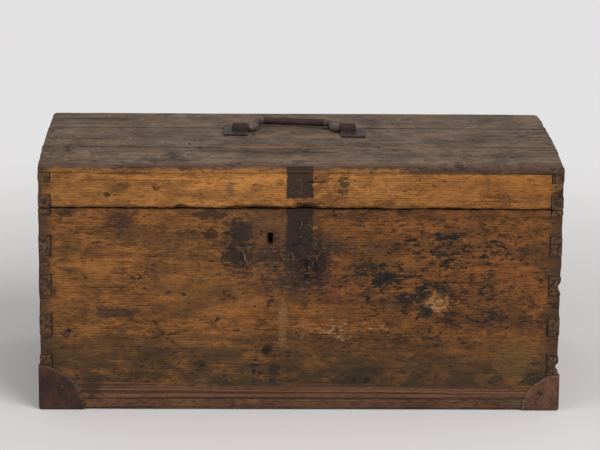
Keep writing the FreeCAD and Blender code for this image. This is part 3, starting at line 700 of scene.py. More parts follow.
def rust_effect():
    """Rusted iron: slow patches of rust, and pits and scale for its height."""
    takes = {"Vector": ORIGIN, "Size": 0.01}
    group, recipe, given = new_effect("rust", takes, ("Patches", "Scale", "Pits"))
    scaled = recipe.counted(given["Vector"], given["Size"])
    patches = recipe.ease(recipe.noise(scaled, (1.0, 1.0, 1.0), 4.0, 0.6), 0.42, 0.66)
    scale = recipe.noise(scaled, (7.0, 7.0, 7.0), 4.0, 0.65)
    cells = recipe.add("ShaderNodeTexVoronoi", {"Vector": scaled, "Scale": 6.0}).outputs["Distance"]
    return finish_effect(group, recipe, patches=patches, scale=scale, pits=recipe.ease(cells, 0.05, 0.3))


PINE_GRAIN = pine_grain_effect()
STAIN_SPOT = spot_effect("stain spot", round_distance, (120.0, 240.0, 240.0), 7.0, 0.75, (0.45, 1.05))
GHOST_PATCH = spot_effect("ghost patch", box_distance, (150.0, 260.0, 260.0), 5.0, 0.7, (0.92, 1.06))
OLD_FLECKS = old_fleck_effect()
GRIME = grime_effect()
RUST = rust_effect()
PINE_RELIEF = 0.9
IRON_RELIEF = 0.5
IRON_ROUGHNESS = (0.55, 0.8)


# Finishes

class Pine:
    """A pine finish being built: its colour and height grow with each mark that is added."""

    def __init__(self, name, pale, middle, dark, spacing, waviness, ring_strength, grain_turn=0.0,
                 dash_strength=0.6, grain_scale=(1.0, 1.0, 1.0)):
        self.material, self.recipe = new_material(name)
        recipe = self.recipe
        coords = recipe.add("ShaderNodeTexCoord").outputs["Object"]
        self.coords = coords
        self.place = recipe.add("ShaderNodeSeparateXYZ", {0: coords}).outputs
        self.clean = None
        if grain_turn:
            turned = {"Vector": coords, "Rotation": (0, 0, grain_turn)}
            coords = recipe.add("ShaderNodeMapping", turned).outputs[0]
        self.grain_coords = recipe.vector("MULTIPLY", coords, grain_scale)
        grain = recipe.use(
            PINE_GRAIN, vector=self.grain_coords, ring_spacing=spacing * MM, waviness=waviness * MM)
        self.rings = grain["Rings"]
        self.streaks = grain["Streaks"]
        self.fibre = grain["Fibre"]
        self.colour = recipe.blend(recipe.ease(self.streaks, 0.36, 0.66), middle, pale)
        self.cover(recipe.ease(grain["Mottle"], 0.56, 0.36, 0.0, 0.6), dark)
        self.cover(recipe.ease(grain["Mottle"], 0.5, 0.68, 0.0, 0.7), pale)
        self.cover(grain["Dashes"], dark, dash_strength)
        self.cover(self.rings, dark, ring_strength)
        self.cover(recipe.ease(self.fibre, 0.45, 0.3), dark, 0.65)
        fine = recipe.times(self.fibre, 0.5)
        fine = recipe.maths("SUBTRACT", fine, recipe.times(grain["Dashes"], 0.6))
        self.height = recipe.maths("SUBTRACT", fine, recipe.times(self.rings, 0.5))

    def cover(self, mask, colour, strength=1.0, kind="MIX"):
        """Lays a colour over the wood where a mask is."""
        if strength != 1.0:
            mask = self.recipe.times(mask, strength)
        self.colour = self.recipe.blend(mask, self.colour, colour, kind)

    def along(self, axis, start, end, waver=0.0):
        """Mask that eases along an axis from start to end, wavering with the streaks, in millimetres."""
        place = self.place[axis]
        if waver:
            place = self.recipe.maths("MULTIPLY_ADD", self.streaks, waver * MM, place)
        return self.recipe.ease(place, start * MM, end * MM)

    def region(self, centre, reach, ragged=0.5, effect=STAIN_SPOT):
        """Mask of a spot on the wood, in millimetres."""
        centre = tuple(c * MM for c in centre)
        reach = tuple(r * MM for r in reach)
        spot = self.recipe.use(effect, vector=self.coords, centre=centre, reach=reach, ragged=ragged)
        return spot["Mask"]

    def spot(self, centre, reach, colour, strength, ragged, effect=STAIN_SPOT):
        """A stain at a place on the wood, in millimetres."""
        self.cover(self.region(centre, reach, ragged, effect), colour, strength)

    def front_spots(self, table):
        """The spots of a table on the front face: stains, and in SEAM_SHADOWS painted shadows."""
        for x, z, reach, colour, strength, ragged in table:
            self.spot((x, FRONT_Y, z), reach, colour, strength, ragged)

    def dirty_ends(self, colour, strength, fleck_level):
        """Dark handling dirt and soot flecks over the dovetails at both ends."""
        recipe = self.recipe
        across = recipe.maths("ABSOLUTE", self.place["X"])
        far = recipe.maths("MULTIPLY_ADD", self.streaks, 12 * MM, across)
        self.cover(recipe.ease(far, 286 * MM, 299 * MM), colour, strength)
        self.flecks(5.0, fleck_level, SOOT, 0.8, recipe.ease(across, 278 * MM, 290 * MM))

    def patches(self, effect, size, level, within):
        """Mask of an effect whose cells have a size in millimetres, within another mask."""
        mask = self.recipe.use(effect, vector=self.grain_coords, size=size * MM, level=level)["Mask"]
        return mask if within is None else self.recipe.times(mask, within)

    def flecks(self, size, level, colour, strength, within=None, height=0.0):
        """Old flecks of one colour, which may stand a little proud."""
        mask = self.patches(OLD_FLECKS, size, level, within)
        self.cover(mask, colour, strength)
        if height:
            self.height = self.recipe.maths("MULTIPLY_ADD", mask, height, self.height)

    def grime(self, size, level, colour, strength, within=None):
        """Broad dirt of one colour."""
        self.cover(self.patches(GRIME, size, level, within), colour, strength)

    def cracks(self, level, colour, strength):
        """Long thin drying cracks along the grain."""
        lines = self.recipe.noise(self.grain_coords, (7.0, 460.0, 460.0), 3.0, 0.55)
        patches = self.recipe.noise(self.grain_coords, (6.0, 22.0, 22.0), 2.0)
        depth = self.recipe.maths("MULTIPLY_ADD", patches, 0.5, lines)
        mask = self.recipe.ease(depth, level, level + 0.035)
        self.cover(mask, colour, strength)
        self.height = self.recipe.maths("MULTIPLY_ADD", mask, -1.5, self.height)

    def painted_seam_shade(self):
        """Painted shade of the gap where lid and body part: a black band of wavering width, on the front face
        only.
        """
        recipe = self.recipe
        away = recipe.maths("ABSOLUTE", recipe.maths("SUBTRACT", self.place["Z"], SEAM * MM))
        waver = recipe.noise(self.coords, (60.0, 20.0, 90.0), 4.0, 0.65)
        width = recipe.ease(waver, 0.38, 0.68, 0.3 * MM, 1.5 * MM)
        band = recipe.ease(recipe.maths("SUBTRACT", away, width), 0.5 * MM, -0.2 * MM)
        self.cover(recipe.times(band, self.along("Y", -142.5, -145.5)), SEAM_BLACK, 0.95)

    def done(self, edge_dirt=0.75):
        """Adds worn edges, bare insides and end grain, and closes the material with its shader."""
        recipe = self.recipe
        worn = recipe.times(recipe.attribute("edge"), recipe.ease(self.streaks, 0.3, 0.6))
        if self.clean is not None:
            worn = recipe.times(worn, recipe.maths("SUBTRACT", 1.0, self.clean))
        self.cover(worn, EDGE_DIRT, edge_dirt)
        end = recipe.ease(recipe.attribute("end"), 0.5, 1.0)
        pores = recipe.ease(recipe.noise(self.coords, (230.0, 230.0, 300.0), 5.0, 0.7), 0.40, 0.60)
        self.cover(end, recipe.blend(pores, END_DARK, END_PALE), 0.8)
        raw = recipe.blend(recipe.ease(self.streaks, 0.3, 0.7), RAW_DARK, RAW_PALE)
        raw = recipe.blend(recipe.times(self.rings, 0.4), raw, RAW_RING)
        self.cover(recipe.ease(recipe.attribute("inside"), 0.3, 0.9), raw)
        rough = recipe.ease(self.fibre, 0.2, 0.8, 0.68, 0.92)
        bump = recipe.add("ShaderNodeBump", {
            "Strength": 0.8, "Distance": PINE_RELIEF * MM, "Height": self.height}).outputs[0]
        shader = recipe.add("ShaderNodeBsdfPrincipled", {
            "Base Color": self.colour, "Roughness": rough, "Specular IOR Level": 0.12, "Normal": bump})
        recipe.add("ShaderNodeOutputMaterial", {"Surface": shader.outputs[0]})
        return self.material


EDGE_DIRT = tone(48, 36, 29)
END_DARK = tone(44, 34, 28)
END_PALE = tone(98, 73, 52)
RAW_PALE = tone(150, 118, 84)
RAW_DARK = tone(120, 90, 62)
RAW_RING = tone(92, 66, 44)
STAIN = tone(46, 38, 33)
SOOT = tone(30, 25, 22)
BLUE_BLACK = tone(31, 33, 34)
SEAM_BLACK = tone(18, 14, 12)
FRONT_Y = -Y_OUT
RAIL_GHOST = (-1.7, FRONT_Y, 271)
GHOST_HALF = 15.3  # half the width of the lost hasp's mark
BODY_STAINS = (  # middle x and z, reach each way, colour, strength and raggedness
    (-133, 170, (70, 12, 58), tone(84, 60, 38), 0.35, 1.2),
    (-70, 213, (22, 12, 24), STAIN, 0.95, 1.0),
    (-72, 183, (24, 12, 24), STAIN, 0.9, 1.2),
    (-36, 184, (30, 12, 14), STAIN, 0.75, 1.6),
    (4, 186, (38, 12, 38), STAIN, 0.9, 1.0),
    (38, 194, (20, 12, 10), STAIN, 0.8, 1.2),
    (-4, 156, (44, 12, 20), tone(54, 43, 36), 0.85, 1.5),
    (15, 173, (23, 12, 24), tone(44, 30, 26), 0.95, 0.7),
    (-207, 226, (22, 12, 12), STAIN, 0.6, 0.7),
    (-213, 117, (32, 12, 9), STAIN, 0.65, 0.7),
    (-105, 233, (30, 12, 7), STAIN, 0.75, 0.7),
    (-265, 235, (14, 12, 5), STAIN, 0.7, 0.6),
    (-104, 211, (11, 12, 8), SOOT, 0.75, 1.0),
    (-38, 72, (8, 12, 9), SOOT, 0.85, 0.4),
    (-31, 46, (6, 12, 26), STAIN, 0.7, 0.5),
    (-20, 104, (7, 12, 32), tone(130, 94, 58), 0.65, 0.9),
    (247, 60, (28, 12, 28), tone(104, 80, 44), 0.55, 0.7),
    (36, 142, (14, 12, 18), tone(96, 54, 36), 0.5, 0.7),
)
FLECK_FIELDS = (  # size, level, strength, middle x and z, reach each way, raggedness and height
    (12.0, 0.562, 0.97, 165, 166, (120, 30, 78), 0.8, 0.6),
    (10.0, 0.522, 0.97, 134, 158, (88, 20, 46), 0.8, 0.6),
    (10.0, 0.52, 0.95, 172, 212, (34, 20, 18), 0.8, 0.6),
    (6.5, 0.572, 0.9, 160, 158, (200, 30, 112), 0.5, 0.5),
    (8.0, 0.60, 0.85, -98, 212, (44, 20, 26), 0.8, 0.5),
)
KNOT = (157, FRONT_Y, 129)
KNOT_HEART = (160, FRONT_Y, 131)
RAIL_STAINS = (  # as for the body
    (16, 271.5, (15, 8, 1.4), SEAM_BLACK, 0.9, 0.6),
    (8, 246, (24, 8, 2.6), SOOT, 0.85, 1.4),
    (-81, 264, (5, 12, 12), tone(84, 68, 52), 0.6, 0.5),
    (-244, 271, (13, 12, 8), tone(88, 62, 40), 0.5, 0.6),
    (-202, 266, (10, 12, 6), tone(70, 48, 32), 0.8, 0.9),
    (48, 268, (10, 12, 11), tone(50, 44, 36), 0.85, 1.8),
    (-221, 256, (5, 12, 4), SOOT, 0.8, 0.5),
)
SEAM_SHADOWS = (  # as for the body
    (-136, SEAM + 1, (11, 5, 5), SEAM_BLACK, 0.9, 0.8),
    (-50, SEAM, (32, 6, 6.5), SEAM_BLACK, 0.98, 0.25),
    (6, SEAM, (25, 6, 6.0), SEAM_BLACK, 0.98, 0.25),
)
SCRATCHES = (  # middle x and z, half width, half height and colour of the scratches round the lost lock plate
    (-67, 186, 3.0, 13, SEAM_BLACK),
    (-66, 190, 1.0, 4.5, tone(116, 94, 80)),
    (-64, 183, 1.0, 4.5, tone(128, 104, 88)),
    (-61.5, 177, 1.0, 4, tone(110, 88, 74)),
    (-1.5, 219, 2.4, 9, SEAM_BLACK),
    (0.5, 222, 1.0, 4, tone(112, 84, 74)),
    (-1, 217, 1.0, 3.5, tone(104, 78, 68)),
    (-12, 184, 2.4, 9, SEAM_BLACK),
    (-10.5, 187, 1.0, 4, tone(104, 78, 66)),
    (-8.5, 182, 1.0, 4, tone(110, 82, 68)),
    (7, 174, 3.0, 18, SEAM_BLACK),
    (17, 172, 2.6, 15, SEAM_BLACK),
    (10, 168, 1.2, 5, tone(92, 64, 52)),
    (14, 175, 1.2, 5, tone(98, 68, 55)),
    (18, 182, 1.2, 5, tone(104, 72, 58)),
    (12, 164, 8, 1.8, tone(90, 60, 48)),
    (30, 168, 1.4, 10, tone(90, 60, 48)),
)


def darken_front(pine):
    """Broad tones of the body's front: browner to the right, and darker and patchy towards the foot."""
    pine.cover(pine.along("X", -80, 140, 100), tone(214, 206, 212), 0.8, "MULTIPLY")
    pine.grime(55.0, 0.52, tone(74, 52, 33), 0.65)
    pine.grime(20.0, 0.58, tone(50, 40, 30), 0.75)
    pine.cracks(0.96, SOOT, 0.7)
    low = pine.along("Z", 165, 85, 100)
    pine.cover(low, tone(88, 63, 38), 0.45)
    pine.grime(26.0, 0.42, tone(54, 45, 33), 0.85, low)
    pine.grime(11.0, 0.56, tone(40, 36, 31), 0.8, low)


def fleck_front(pine):
    """Flecks all over the body's front, thickest right of its middle."""
    for size, level, strength, x, z, reach, ragged, height in FLECK_FIELDS:
        field = pine.region((x, FRONT_Y, z), reach, ragged)
        pine.flecks(size, level, BLUE_BLACK, strength, field, height)
    pine.flecks(9.0, 0.645, BLUE_BLACK, 0.85)
    pine.flecks(4.5, 0.615, SOOT, 0.85)
    pine.flecks(3.6, 0.625, tone(112, 86, 64), 0.55, pine.region((-20, FRONT_Y, 185), (64, 20, 60)))


def mark_knot(pine):
    """The broken knot: pale torn wood round a dark ring, and dirt in it."""
    pine.spot(KNOT, (16, 12, 14), tone(168, 120, 74), 0.95, 0.9)
    pine.spot(KNOT_HEART, (9.0, 12, 7.6), tone(50, 34, 25), 0.9, 0.62)
    pine.spot(KNOT_HEART, (6.2, 12, 5.0), tone(168, 124, 82), 0.85, 0.62)
    pine.flecks(6.0, 0.565, tone(46, 35, 27), 0.92, pine.region(KNOT, (18, 12, 15)))
    pine.spot((146, FRONT_Y, 118), (10, 12, 8), BLUE_BLACK, 0.9, 1.2)


def body_front_finish():
    """The body's front: golden brown pine, stained round the lost lock plate and rubbed at the foot."""
    pine = Pine(
        "pine body front", tone(152, 100, 51), tone(128, 83, 43), tone(62, 43, 28), 3.0, 2.5, 0.2)
    recipe = pine.recipe
    darken_front(pine)
    pine.spot((-34, FRONT_Y, 194), (56, 12, 60), tone(82, 57, 40), 0.7, 1.0)
    pine.spot((-1.7, FRONT_Y, 217), (GHOST_HALF, 12, 27), STAIN, 0.95, 0.26, GHOST_PATCH)
    pine.front_spots(BODY_STAINS)
    fleck_front(pine)
    for x, z, across, up, colour in SCRATCHES:
        pine.spot((x, FRONT_Y, z), (across, 12, up), colour, 0.6, 1.3)
    pine.spot((KEYHOLE_X, FRONT_Y, 205), (5.5, 12, 10), SEAM_BLACK, 0.95, 0.6)
    mark_knot(pine)
    pine.flecks(7.0, 0.55, BLUE_BLACK, 0.85, pine.region((34, FRONT_Y, 102), (54, 20, 18), 0.8))
    pine.flecks(5.5, 0.56, tone(150, 118, 84), 0.75, pine.region((46, FRONT_Y, 96), (60, 20, 18), 0.8))
    lines = recipe.ease(recipe.noise(pine.coords, (3.0, 10.0, 560.0), 3.0, 0.6), 0.40, 0.58)
    band = recipe.blend(lines, tone(70, 49, 36), tone(118, 83, 60))
    pine.cover(pine.along("Z", 49, 43, 30), band, 0.85)
    # painted shade at the foot beside the left front cap
    pine.spot((-240, FRONT_Y, 26), (16, 12, 16), tone(52, 40, 33), 0.75, 0.8)
    pine.dirty_ends(tone(70, 53, 40), 0.8, 0.55)
    # painted shade of the gap along the seam
    pine.painted_seam_shade()
    return pine.done()


def lid_rail_finish():
    """The lid's front rail: bright golden pine with close dark growth lines."""
    pine = Pine(
        "pine lid rail", tone(176, 118, 60), tone(152, 100, 51), tone(88, 59, 34), 2.4, 1.4, 0.5,
        dash_strength=0.45)
    pine.grime(50.0, 0.54, tone(100, 68, 38), 0.6)
    pine.grime(16.0, 0.62, tone(70, 52, 34), 0.7)
    right = pine.along("X", 120, 280, 100)
    pine.cover(right, tone(226, 218, 214), 0.8, "MULTIPLY")
    pine.grime(12.0, 0.60, tone(88, 60, 37), 0.6, right)
    pine.spot((24, FRONT_Y, 276), (11, 8, 11), tone(88, 60, 40), 0.75, 0.9)
    pine.spot((32, FRONT_Y, 254), (13, 8, 5), tone(98, 66, 42), 0.7, 1.2)
    pine.spot(RAIL_GHOST, (GHOST_HALF, 12, 19), STAIN, 0.95, 0.16, GHOST_PATCH)
    pine.flecks(5.0, 0.56, tone(88, 72, 58), 0.6, pine.region(RAIL_GHOST, (16, 8, 20), 0.3))
    pine.front_spots(RAIL_STAINS)
    pine.cracks(0.93, SOOT, 0.6)
    pine.flecks(8.0, 0.655, tone(62, 46, 32), 0.8)
    pine.flecks(4.0, 0.63, SOOT, 0.8)
    pine.dirty_ends(tone(84, 62, 42), 0.7, 0.57)
    pine.clean = pine.along("Z", 268, 275)
    # painted shade of the gap along the seam
    pine.painted_seam_shade()
    pine.front_spots(SEAM_SHADOWS)
    return pine.done()


def wear_joints(pine):
    """The planks' two joints: the front one worn to bare wood, the back one open at its right, with painted
    shade in the opening.
    """
    recipe = pine.recipe
    place = pine.place
    joint = recipe.maths("ABSOLUTE", recipe.maths("SUBTRACT", place["Y"], FRONT_ARRIS * MM))
    bare = recipe.times(
        recipe.ease(joint, 4.0 * MM, 2.4 * MM), recipe.ease(pine.streaks, 0.36, 0.46),
        pine.along("X", -150, -110), recipe.ease(place["X"], 220 * MM, 120 * MM, 0.25, 1.0))
    pine.cover(bare, tone(168, 118, 74), 0.85)
    far_joint = recipe.maths("ABSOLUTE", recipe.maths("SUBTRACT", place["Y"], BACK_ARRIS * MM))
    open_joint_shade = recipe.times(recipe.ease(far_joint, 3.4 * MM, 1.8 * MM), pine.along("X", 50, 90))
    pine.cover(open_joint_shade, SOOT, 0.75)


def golden_lip(pine):
    """The front plank's edge, where its lower part is rubbed as golden as the rail under it."""
    recipe = pine.recipe
    rubbed = recipe.noise(pine.coords, (70.0, 60.0, 220.0), 5.0, 0.7)
    lip = recipe.maths("MULTIPLY_ADD", rubbed, 18 * MM, pine.place["Z"])
    golden = recipe.times(
        recipe.ease(lip, 297.5 * MM, 292.5 * MM), pine.along("Y", -143, -147),
        pine.along("X", -300, -280), pine.along("X", 165, 135, 50))
    streaked = recipe.blend(recipe.ease(pine.streaks, 0.36, 0.66), tone(128, 86, 46), tone(158, 107, 55))
    pine.cover(golden, streaked, 0.9)
    return golden


def lid_top_finish():
    """The lid's planks: weathered grey brown, streaked, worn to bare wood along the front joint."""
    pine = Pine(
        "pine lid top", tone(128, 107, 90), tone(99, 84, 73), tone(52, 44, 39), 6.5, 4.0, 0.25,
        dash_strength=0.8, grain_scale=(1.0, 0.4, 1.0))
    pine.grime(60.0, 0.48, tone(108, 84, 62), 0.6)
    pine.grime(30.0, 0.54, tone(62, 55, 50), 0.75)
    pine.spot((-250, -112, 292), (34, 18, 12), tone(134, 104, 72), 0.4, 1.0)
    front = pine.along("Y", -126, -146)
    pine.cover(front, tone(86, 63, 48), 0.75)
    pine.flecks(6.0, 0.56, tone(118, 92, 76), 0.7, front)
    pine.flecks(5.0, 0.585, SOOT, 0.85, front)
    wear_joints(pine)
    pine.cracks(0.885, tone(34, 28, 25), 0.8)
    pine.flecks(6.0, 0.61, tone(40, 33, 29), 0.85)
    pine.clean = golden_lip(pine)
    pine.flecks(4.5, 0.575, tone(70, 48, 36), 0.8, pine.along("Y", -141, -147))
    pine.spot((-1.7, FRONT_Y, 284), (GHOST_HALF, 8, 5), STAIN, 0.9, 0.2, GHOST_PATCH)
    return pine.done()


def end_finish():
    """Body ends and lid ends: brown pine with its grain from front to back."""
    pine = Pine(
        "pine ends", tone(122, 84, 50), tone(100, 70, 43), tone(62, 44, 30), 5.0, 6.0, 0.5,
        grain_turn=math.pi / 2)
    pine.grime(60.0, 0.50, tone(66, 50, 37), 0.7)
    pine.flecks(4.0, 0.60, SOOT, 0.8)
    return pine.done()


def carcase_finish():
    """The back of body and lid: brown pine, less handled than the front."""
    pine = Pine("pine back", tone(124, 88, 54), tone(104, 74, 46), tone(66, 47, 32), 5.0, 6.0, 0.5)
    pine.grime(70.0, 0.50, tone(70, 54, 40), 0.7)
    pine.flecks(4.0, 0.65, SOOT, 0.6)
    return pine.done()


def bottom_finish():
    """The bottom planks: dull reddish brown."""
    pine = Pine("pine bottom", tone(122, 86, 62), tone(102, 72, 52), tone(64, 45, 34), 3.2, 1.0, 0.7)
    pine.grime(40.0, 0.54, tone(58, 45, 35), 0.6)
    pine.spot((254, FRONT_Y, 10), (17, 12, 8), tone(80, 76, 61), 0.65, 1.0)
    return pine.done(edge_dirt=0.25)


def iron_finish(name, base, light, dark, rust, size):
    """Old iron: a brown skin, darker scale, rust patches and paler rubbed edges; on the bail the pale tone on
    its bends is a painted highlight.
    """
    material, recipe = new_material(name)
    coords = recipe.add("ShaderNodeTexCoord").outputs["Object"]
    skin = recipe.use(RUST, vector=coords, size=size * MM)
    colour = recipe.blend(recipe.ease(skin["Scale"], 0.35, 0.62), dark, base)
    colour = recipe.blend(recipe.times(skin["Patches"], 0.7), colour, rust)
    # rubbed edges, and on the bail's bends a painted highlight
    rubbed = recipe.times(recipe.attribute("edge"), recipe.ease(skin["Scale"], 0.35, 0.6))
    colour = recipe.blend(recipe.times(rubbed, 0.7), colour, light)
    height = recipe.maths("MULTIPLY_ADD", skin["Pits"], 0.5, skin["Scale"])
    bump = recipe.add("ShaderNodeBump", {
        "Strength": 0.7, "Distance": IRON_RELIEF * MM, "Height": height}).outputs[0]
    rough = recipe.ease(skin["Scale"], 0.3, 0.7, *IRON_ROUGHNESS)
    shader = recipe.add("ShaderNodeBsdfPrincipled", {
        "Base Color": colour, "Roughness": rough, "Metallic": 0.25, "Specular IOR Level": 0.25,
        "Normal": bump})
    recipe.add("ShaderNodeOutputMaterial", {"Surface": shader.outputs[0]})
    return material


BODY_FRONT = body_front_finish()
LID_RAIL = lid_rail_finish()
LID_TOP_PINE = lid_top_finish()
END_PINE = end_finish()
BACK_PINE = carcase_finish()
BOTTOM_PINE = bottom_finish()
CAP_DARK = iron_finish(
    "iron cap left", tone(56, 39, 33), tone(104, 80, 68), tone(36, 25, 23), tone(78, 48, 33), 22.0)
CAP_BROWN = iron_finish(
    "iron cap right", tone(92, 64, 48), tone(124, 96, 78), tone(52, 37, 30), tone(110, 71, 46), 14.0)
# its pale grey tone is painted on the bail's bends as a highlight
HANDLE_IRON = iron_finish(
    "iron handle", tone(60, 43, 40), tone(122, 106, 98), tone(36, 25, 25), tone(80, 50, 42), 12.0)
STRAP_IRON = iron_finish(
    "iron strap", tone(50, 40, 37), tone(72, 60, 55), tone(30, 24, 23), tone(66, 44, 36), 12.0)
NAIL_IRON = iron_finish(
    "iron nail", tone(58, 46, 42), tone(110, 94, 86), tone(34, 27, 25), tone(92, 58, 40), 4.0)
# nearly black: the strap nails carry the painted shade of their holes
STRAP_NAIL_SHADE_IRON = iron_finish(
    "iron nail in a strap with painted hole shade", tone(26, 21, 20), tone(60, 50, 46), tone(18, 15, 14), tone(44, 30, 25), 4.0)
LOCK_IRON = iron_finish(
    "iron lock", tone(74, 68, 64), tone(130, 120, 112), tone(48, 43, 41), tone(96, 66, 48), 14.0)
LID_NAIL_IRON = iron_finish(
    "iron nail in the lid", tone(82, 68, 58), tone(104, 88, 76), tone(58, 48, 42), tone(92, 68, 52), 4.0)
HINGE_IRON = iron_finish(
    "iron hinge", tone(72, 62, 58), tone(126, 112, 102), tone(44, 37, 35), tone(92, 62, 46), 8.0)


# Boards

FRONT_DENTS = (  # middle u and v, half length, half height, depth and seed
    (15, 173, 17, 20, 2.6, 41),
    (2, 212, 10, 18, 0.9, 42),
    (157, 129, 13, 9, 1.6, 43),
    (-38, 72, 8, 8, 1.0, 44),
    (298, 146, 7, 8, 2.5, 45),
    (298, 49, 5, 6, 1.6, 46),
    (KEYHOLE_X, 204, 7, 11, 1.2, 47),
    (-62, 97, 22, 1.6, 0.8, 48),
    (-48, SEAM, 34, 3, 3.0, 49),
    (8, SEAM, 20, 3, 3.0, 50),
)
RAIL_DENTS = (  # as for the front
    (18, 272, 16, 1.5, 1.0, 51),
    (-202, 266, 9, 4, 0.6, 52),
    (-136, SEAM, 10, 6, 3.0, 54),
    (6, SEAM, 20, 4, 5.0, 57),
    (-50, SEAM, 30, 4, 5.0, 59),
    (4, 262, 16, 14, 0.7, 53),
)
RIGHT_END_DENTS = (  # as for the front
    (-Y_OUT, 146, 60, 8, 3.4, 63),
    (-Y_OUT, 52, 50, 7, 3.2, 64),
)


def front_hollows(u, v):
    """Hollows in the body's front: the torn wood beside the keyhole, a broken knot, knocks and nicks."""
    return dents(u, v, FRONT_DENTS) + foot_grooves(u, v) + seam_chips(u, SEAM - v, 55)


def seam_chips(u, away, seed):
    """Splinters lost along the seam: short ripples along it, fading within a few millimetres of the edge."""
    lost = ease(ripple(u, u * 0, 16.0, 1.0, seed), 0.25, 0.9)
    lost = lost + 0.8 * ease(ripple(u, u * 0, 5.0, 1.0, seed + 1), 0.45, 0.9)
    return 2.2 * lost * (1 - ease(away, 0.3, 3.4))


def foot_grooves(u, v):
    """Weathered growth lines along the foot of the front: ripples a few millimetres apart, fading upwards."""
    return 0.9 * ripple(u, v, 260.0, 3.2, 61) * (1 - ease(v, 26.0, 34.0))


def right_end_hollows(u, v):
    """Corners broken off two pins of the right end."""
    return dents(u, v, RIGHT_END_DENTS)


def rail_hollows(u, v):
    """Knocks in the lid's front rail, and the split beside the old nails."""
    return dents(u, v, RAIL_DENTS) + seam_chips(u, v - SEAM, 58)


def plank_hollows(u, v):
    """Shallow cupping and long open checks in the lid's planks."""
    cup = 0.5 * ripple(u, v, 400.0, 60.0, 71)
    checks = 0.8 * ease(ripple(u, v, 150.0, 5.0, 72), 0.80, 0.97)
    return cup + checks


def keyhole_voids():
    """The keyhole as three boxes: its slot, the widest part of its round and the top of the round."""
    slot = (KEYHOLE_X - KEYHOLE_SLOT, KEYHOLE_X + KEYHOLE_SLOT)
    widest = (KEYHOLE_X - KEYHOLE_ROUND, KEYHOLE_X + KEYHOLE_ROUND)
    return [
        (*slot, KEYHOLE_FOOT, KEYHOLE_Z),
        (*widest, KEYHOLE_Z + KEYHOLE_WIDEST[0], KEYHOLE_Z + KEYHOLE_WIDEST[1]),
        (*slot, KEYHOLE_Z, KEYHOLE_Z + KEYHOLE_ROUND),
    ]


def make_end_boards(side, lay, hollow, seed):
    """One end board of the body, and the end of the lid above it."""
    worn_board(
        side + "_end_board", seed, END_PINE, "chest_body", lay, (LONG, BODY), BOARD,
        (1.8, 1.8, 0.8, 1.8), tail_voids(*BODY), hollow, bevel_behind(-1, lean_of_pins(*BODY)))
    worn_board(
        "lid_" + side + "_end", seed + 50, END_PINE, "lid", lay, (LONG, LID_END), BOARD,
        (1.2, 1.2, 1.8, 0.5), tail_voids(*RAIL), None,
        bevel_behind(1, lean_of_pins(*LID_END, plank_foot)), 3.0)


def make_upright_boards():
    """The dovetailed boards of the body and the lid."""
    worn_board(
        "front_board", 100, BODY_FRONT, "chest_body", lay_front, (WIDE, BODY), BOARD,
        (2.4, 3.0, 0.8, 1.3), socket_voids(*BODY) + keyhole_voids(), front_hollows, lean_of_sockets(*BODY))
    worn_board(
        "back_board", 200, BACK_PINE, "chest_body", lay_back, (WIDE, BODY), BOARD,
        (1.6, 1.6, 0.8, 0.5), socket_voids(*BODY), back_bevel(-1), hinge_seat(-1, lean_of_sockets(*BODY)))
    make_end_boards("left", lay_left, None, 300)
    make_end_boards("right", lay_right, right_end_hollows, 400)
    worn_board(
        "lid_front_rail", 500, LID_RAIL, "lid", lay_front, (WIDE, RAIL), BOARD,
        (2.4, 2.4, 1.2, 0.3), socket_voids(*RAIL), rail_hollows, lean_of_sockets(*RAIL), 3.0)
    worn_board(
        "lid_back_rail", 600, BACK_PINE, "lid", lay_back, (WIDE, RAIL), BOARD,
        (1.6, 1.6, 0.5, 0.6), socket_voids(*RAIL), back_bevel(1), hinge_seat(1, lean_of_sockets(*RAIL)), 3.0)


def make_planks():
    """The planks of the lid's top and of the bottom."""
    ends = (-X_OUT - END_OVERHANG, X_OUT + END_OVERHANG)
    planks = (
        ("front", 700, (-Y_OUT, FRONT_ARRIS - PLANK_GAP), (NOSING, 1.0), {(0, 0): 6.0, (1, 0): 6.0}),
        ("middle", 750, (FRONT_ARRIS + PLANK_GAP, BACK_ARRIS - PLANK_GAP), (1.2, 1.0), {}),
        ("back", 800, (BACK_ARRIS + PLANK_GAP, Y_OUT), (1.0, 3.0), {(0, 1): 11.0, (1, 1): 11.0}),
    )
    for place, seed, across, wear, corners in planks:
        worn_board(
            "lid_plank_" + place, seed, LID_TOP_PINE, "lid", lay_plank, (ends, across),
            TOP_PLANK, (3.0, 3.0, *wear), (), plank_hollows, None, 3.0, corners, 0.3)
    bottoms = (("front", (-Y_OUT, BOTTOM_EDGES[0]), 850), ("back", (BOTTOM_EDGES[1], Y_OUT), 900))
    for place, across, seed in bottoms:
        worn_board(
            "bottom_board_" + place, seed, BOTTOM_PINE, "chest_body", lay_bottom,
            (WIDE, across), BOTTOM_BOARD, (1.2, 1.2, 1.0, 1.0), step=6.0)


# Corner caps

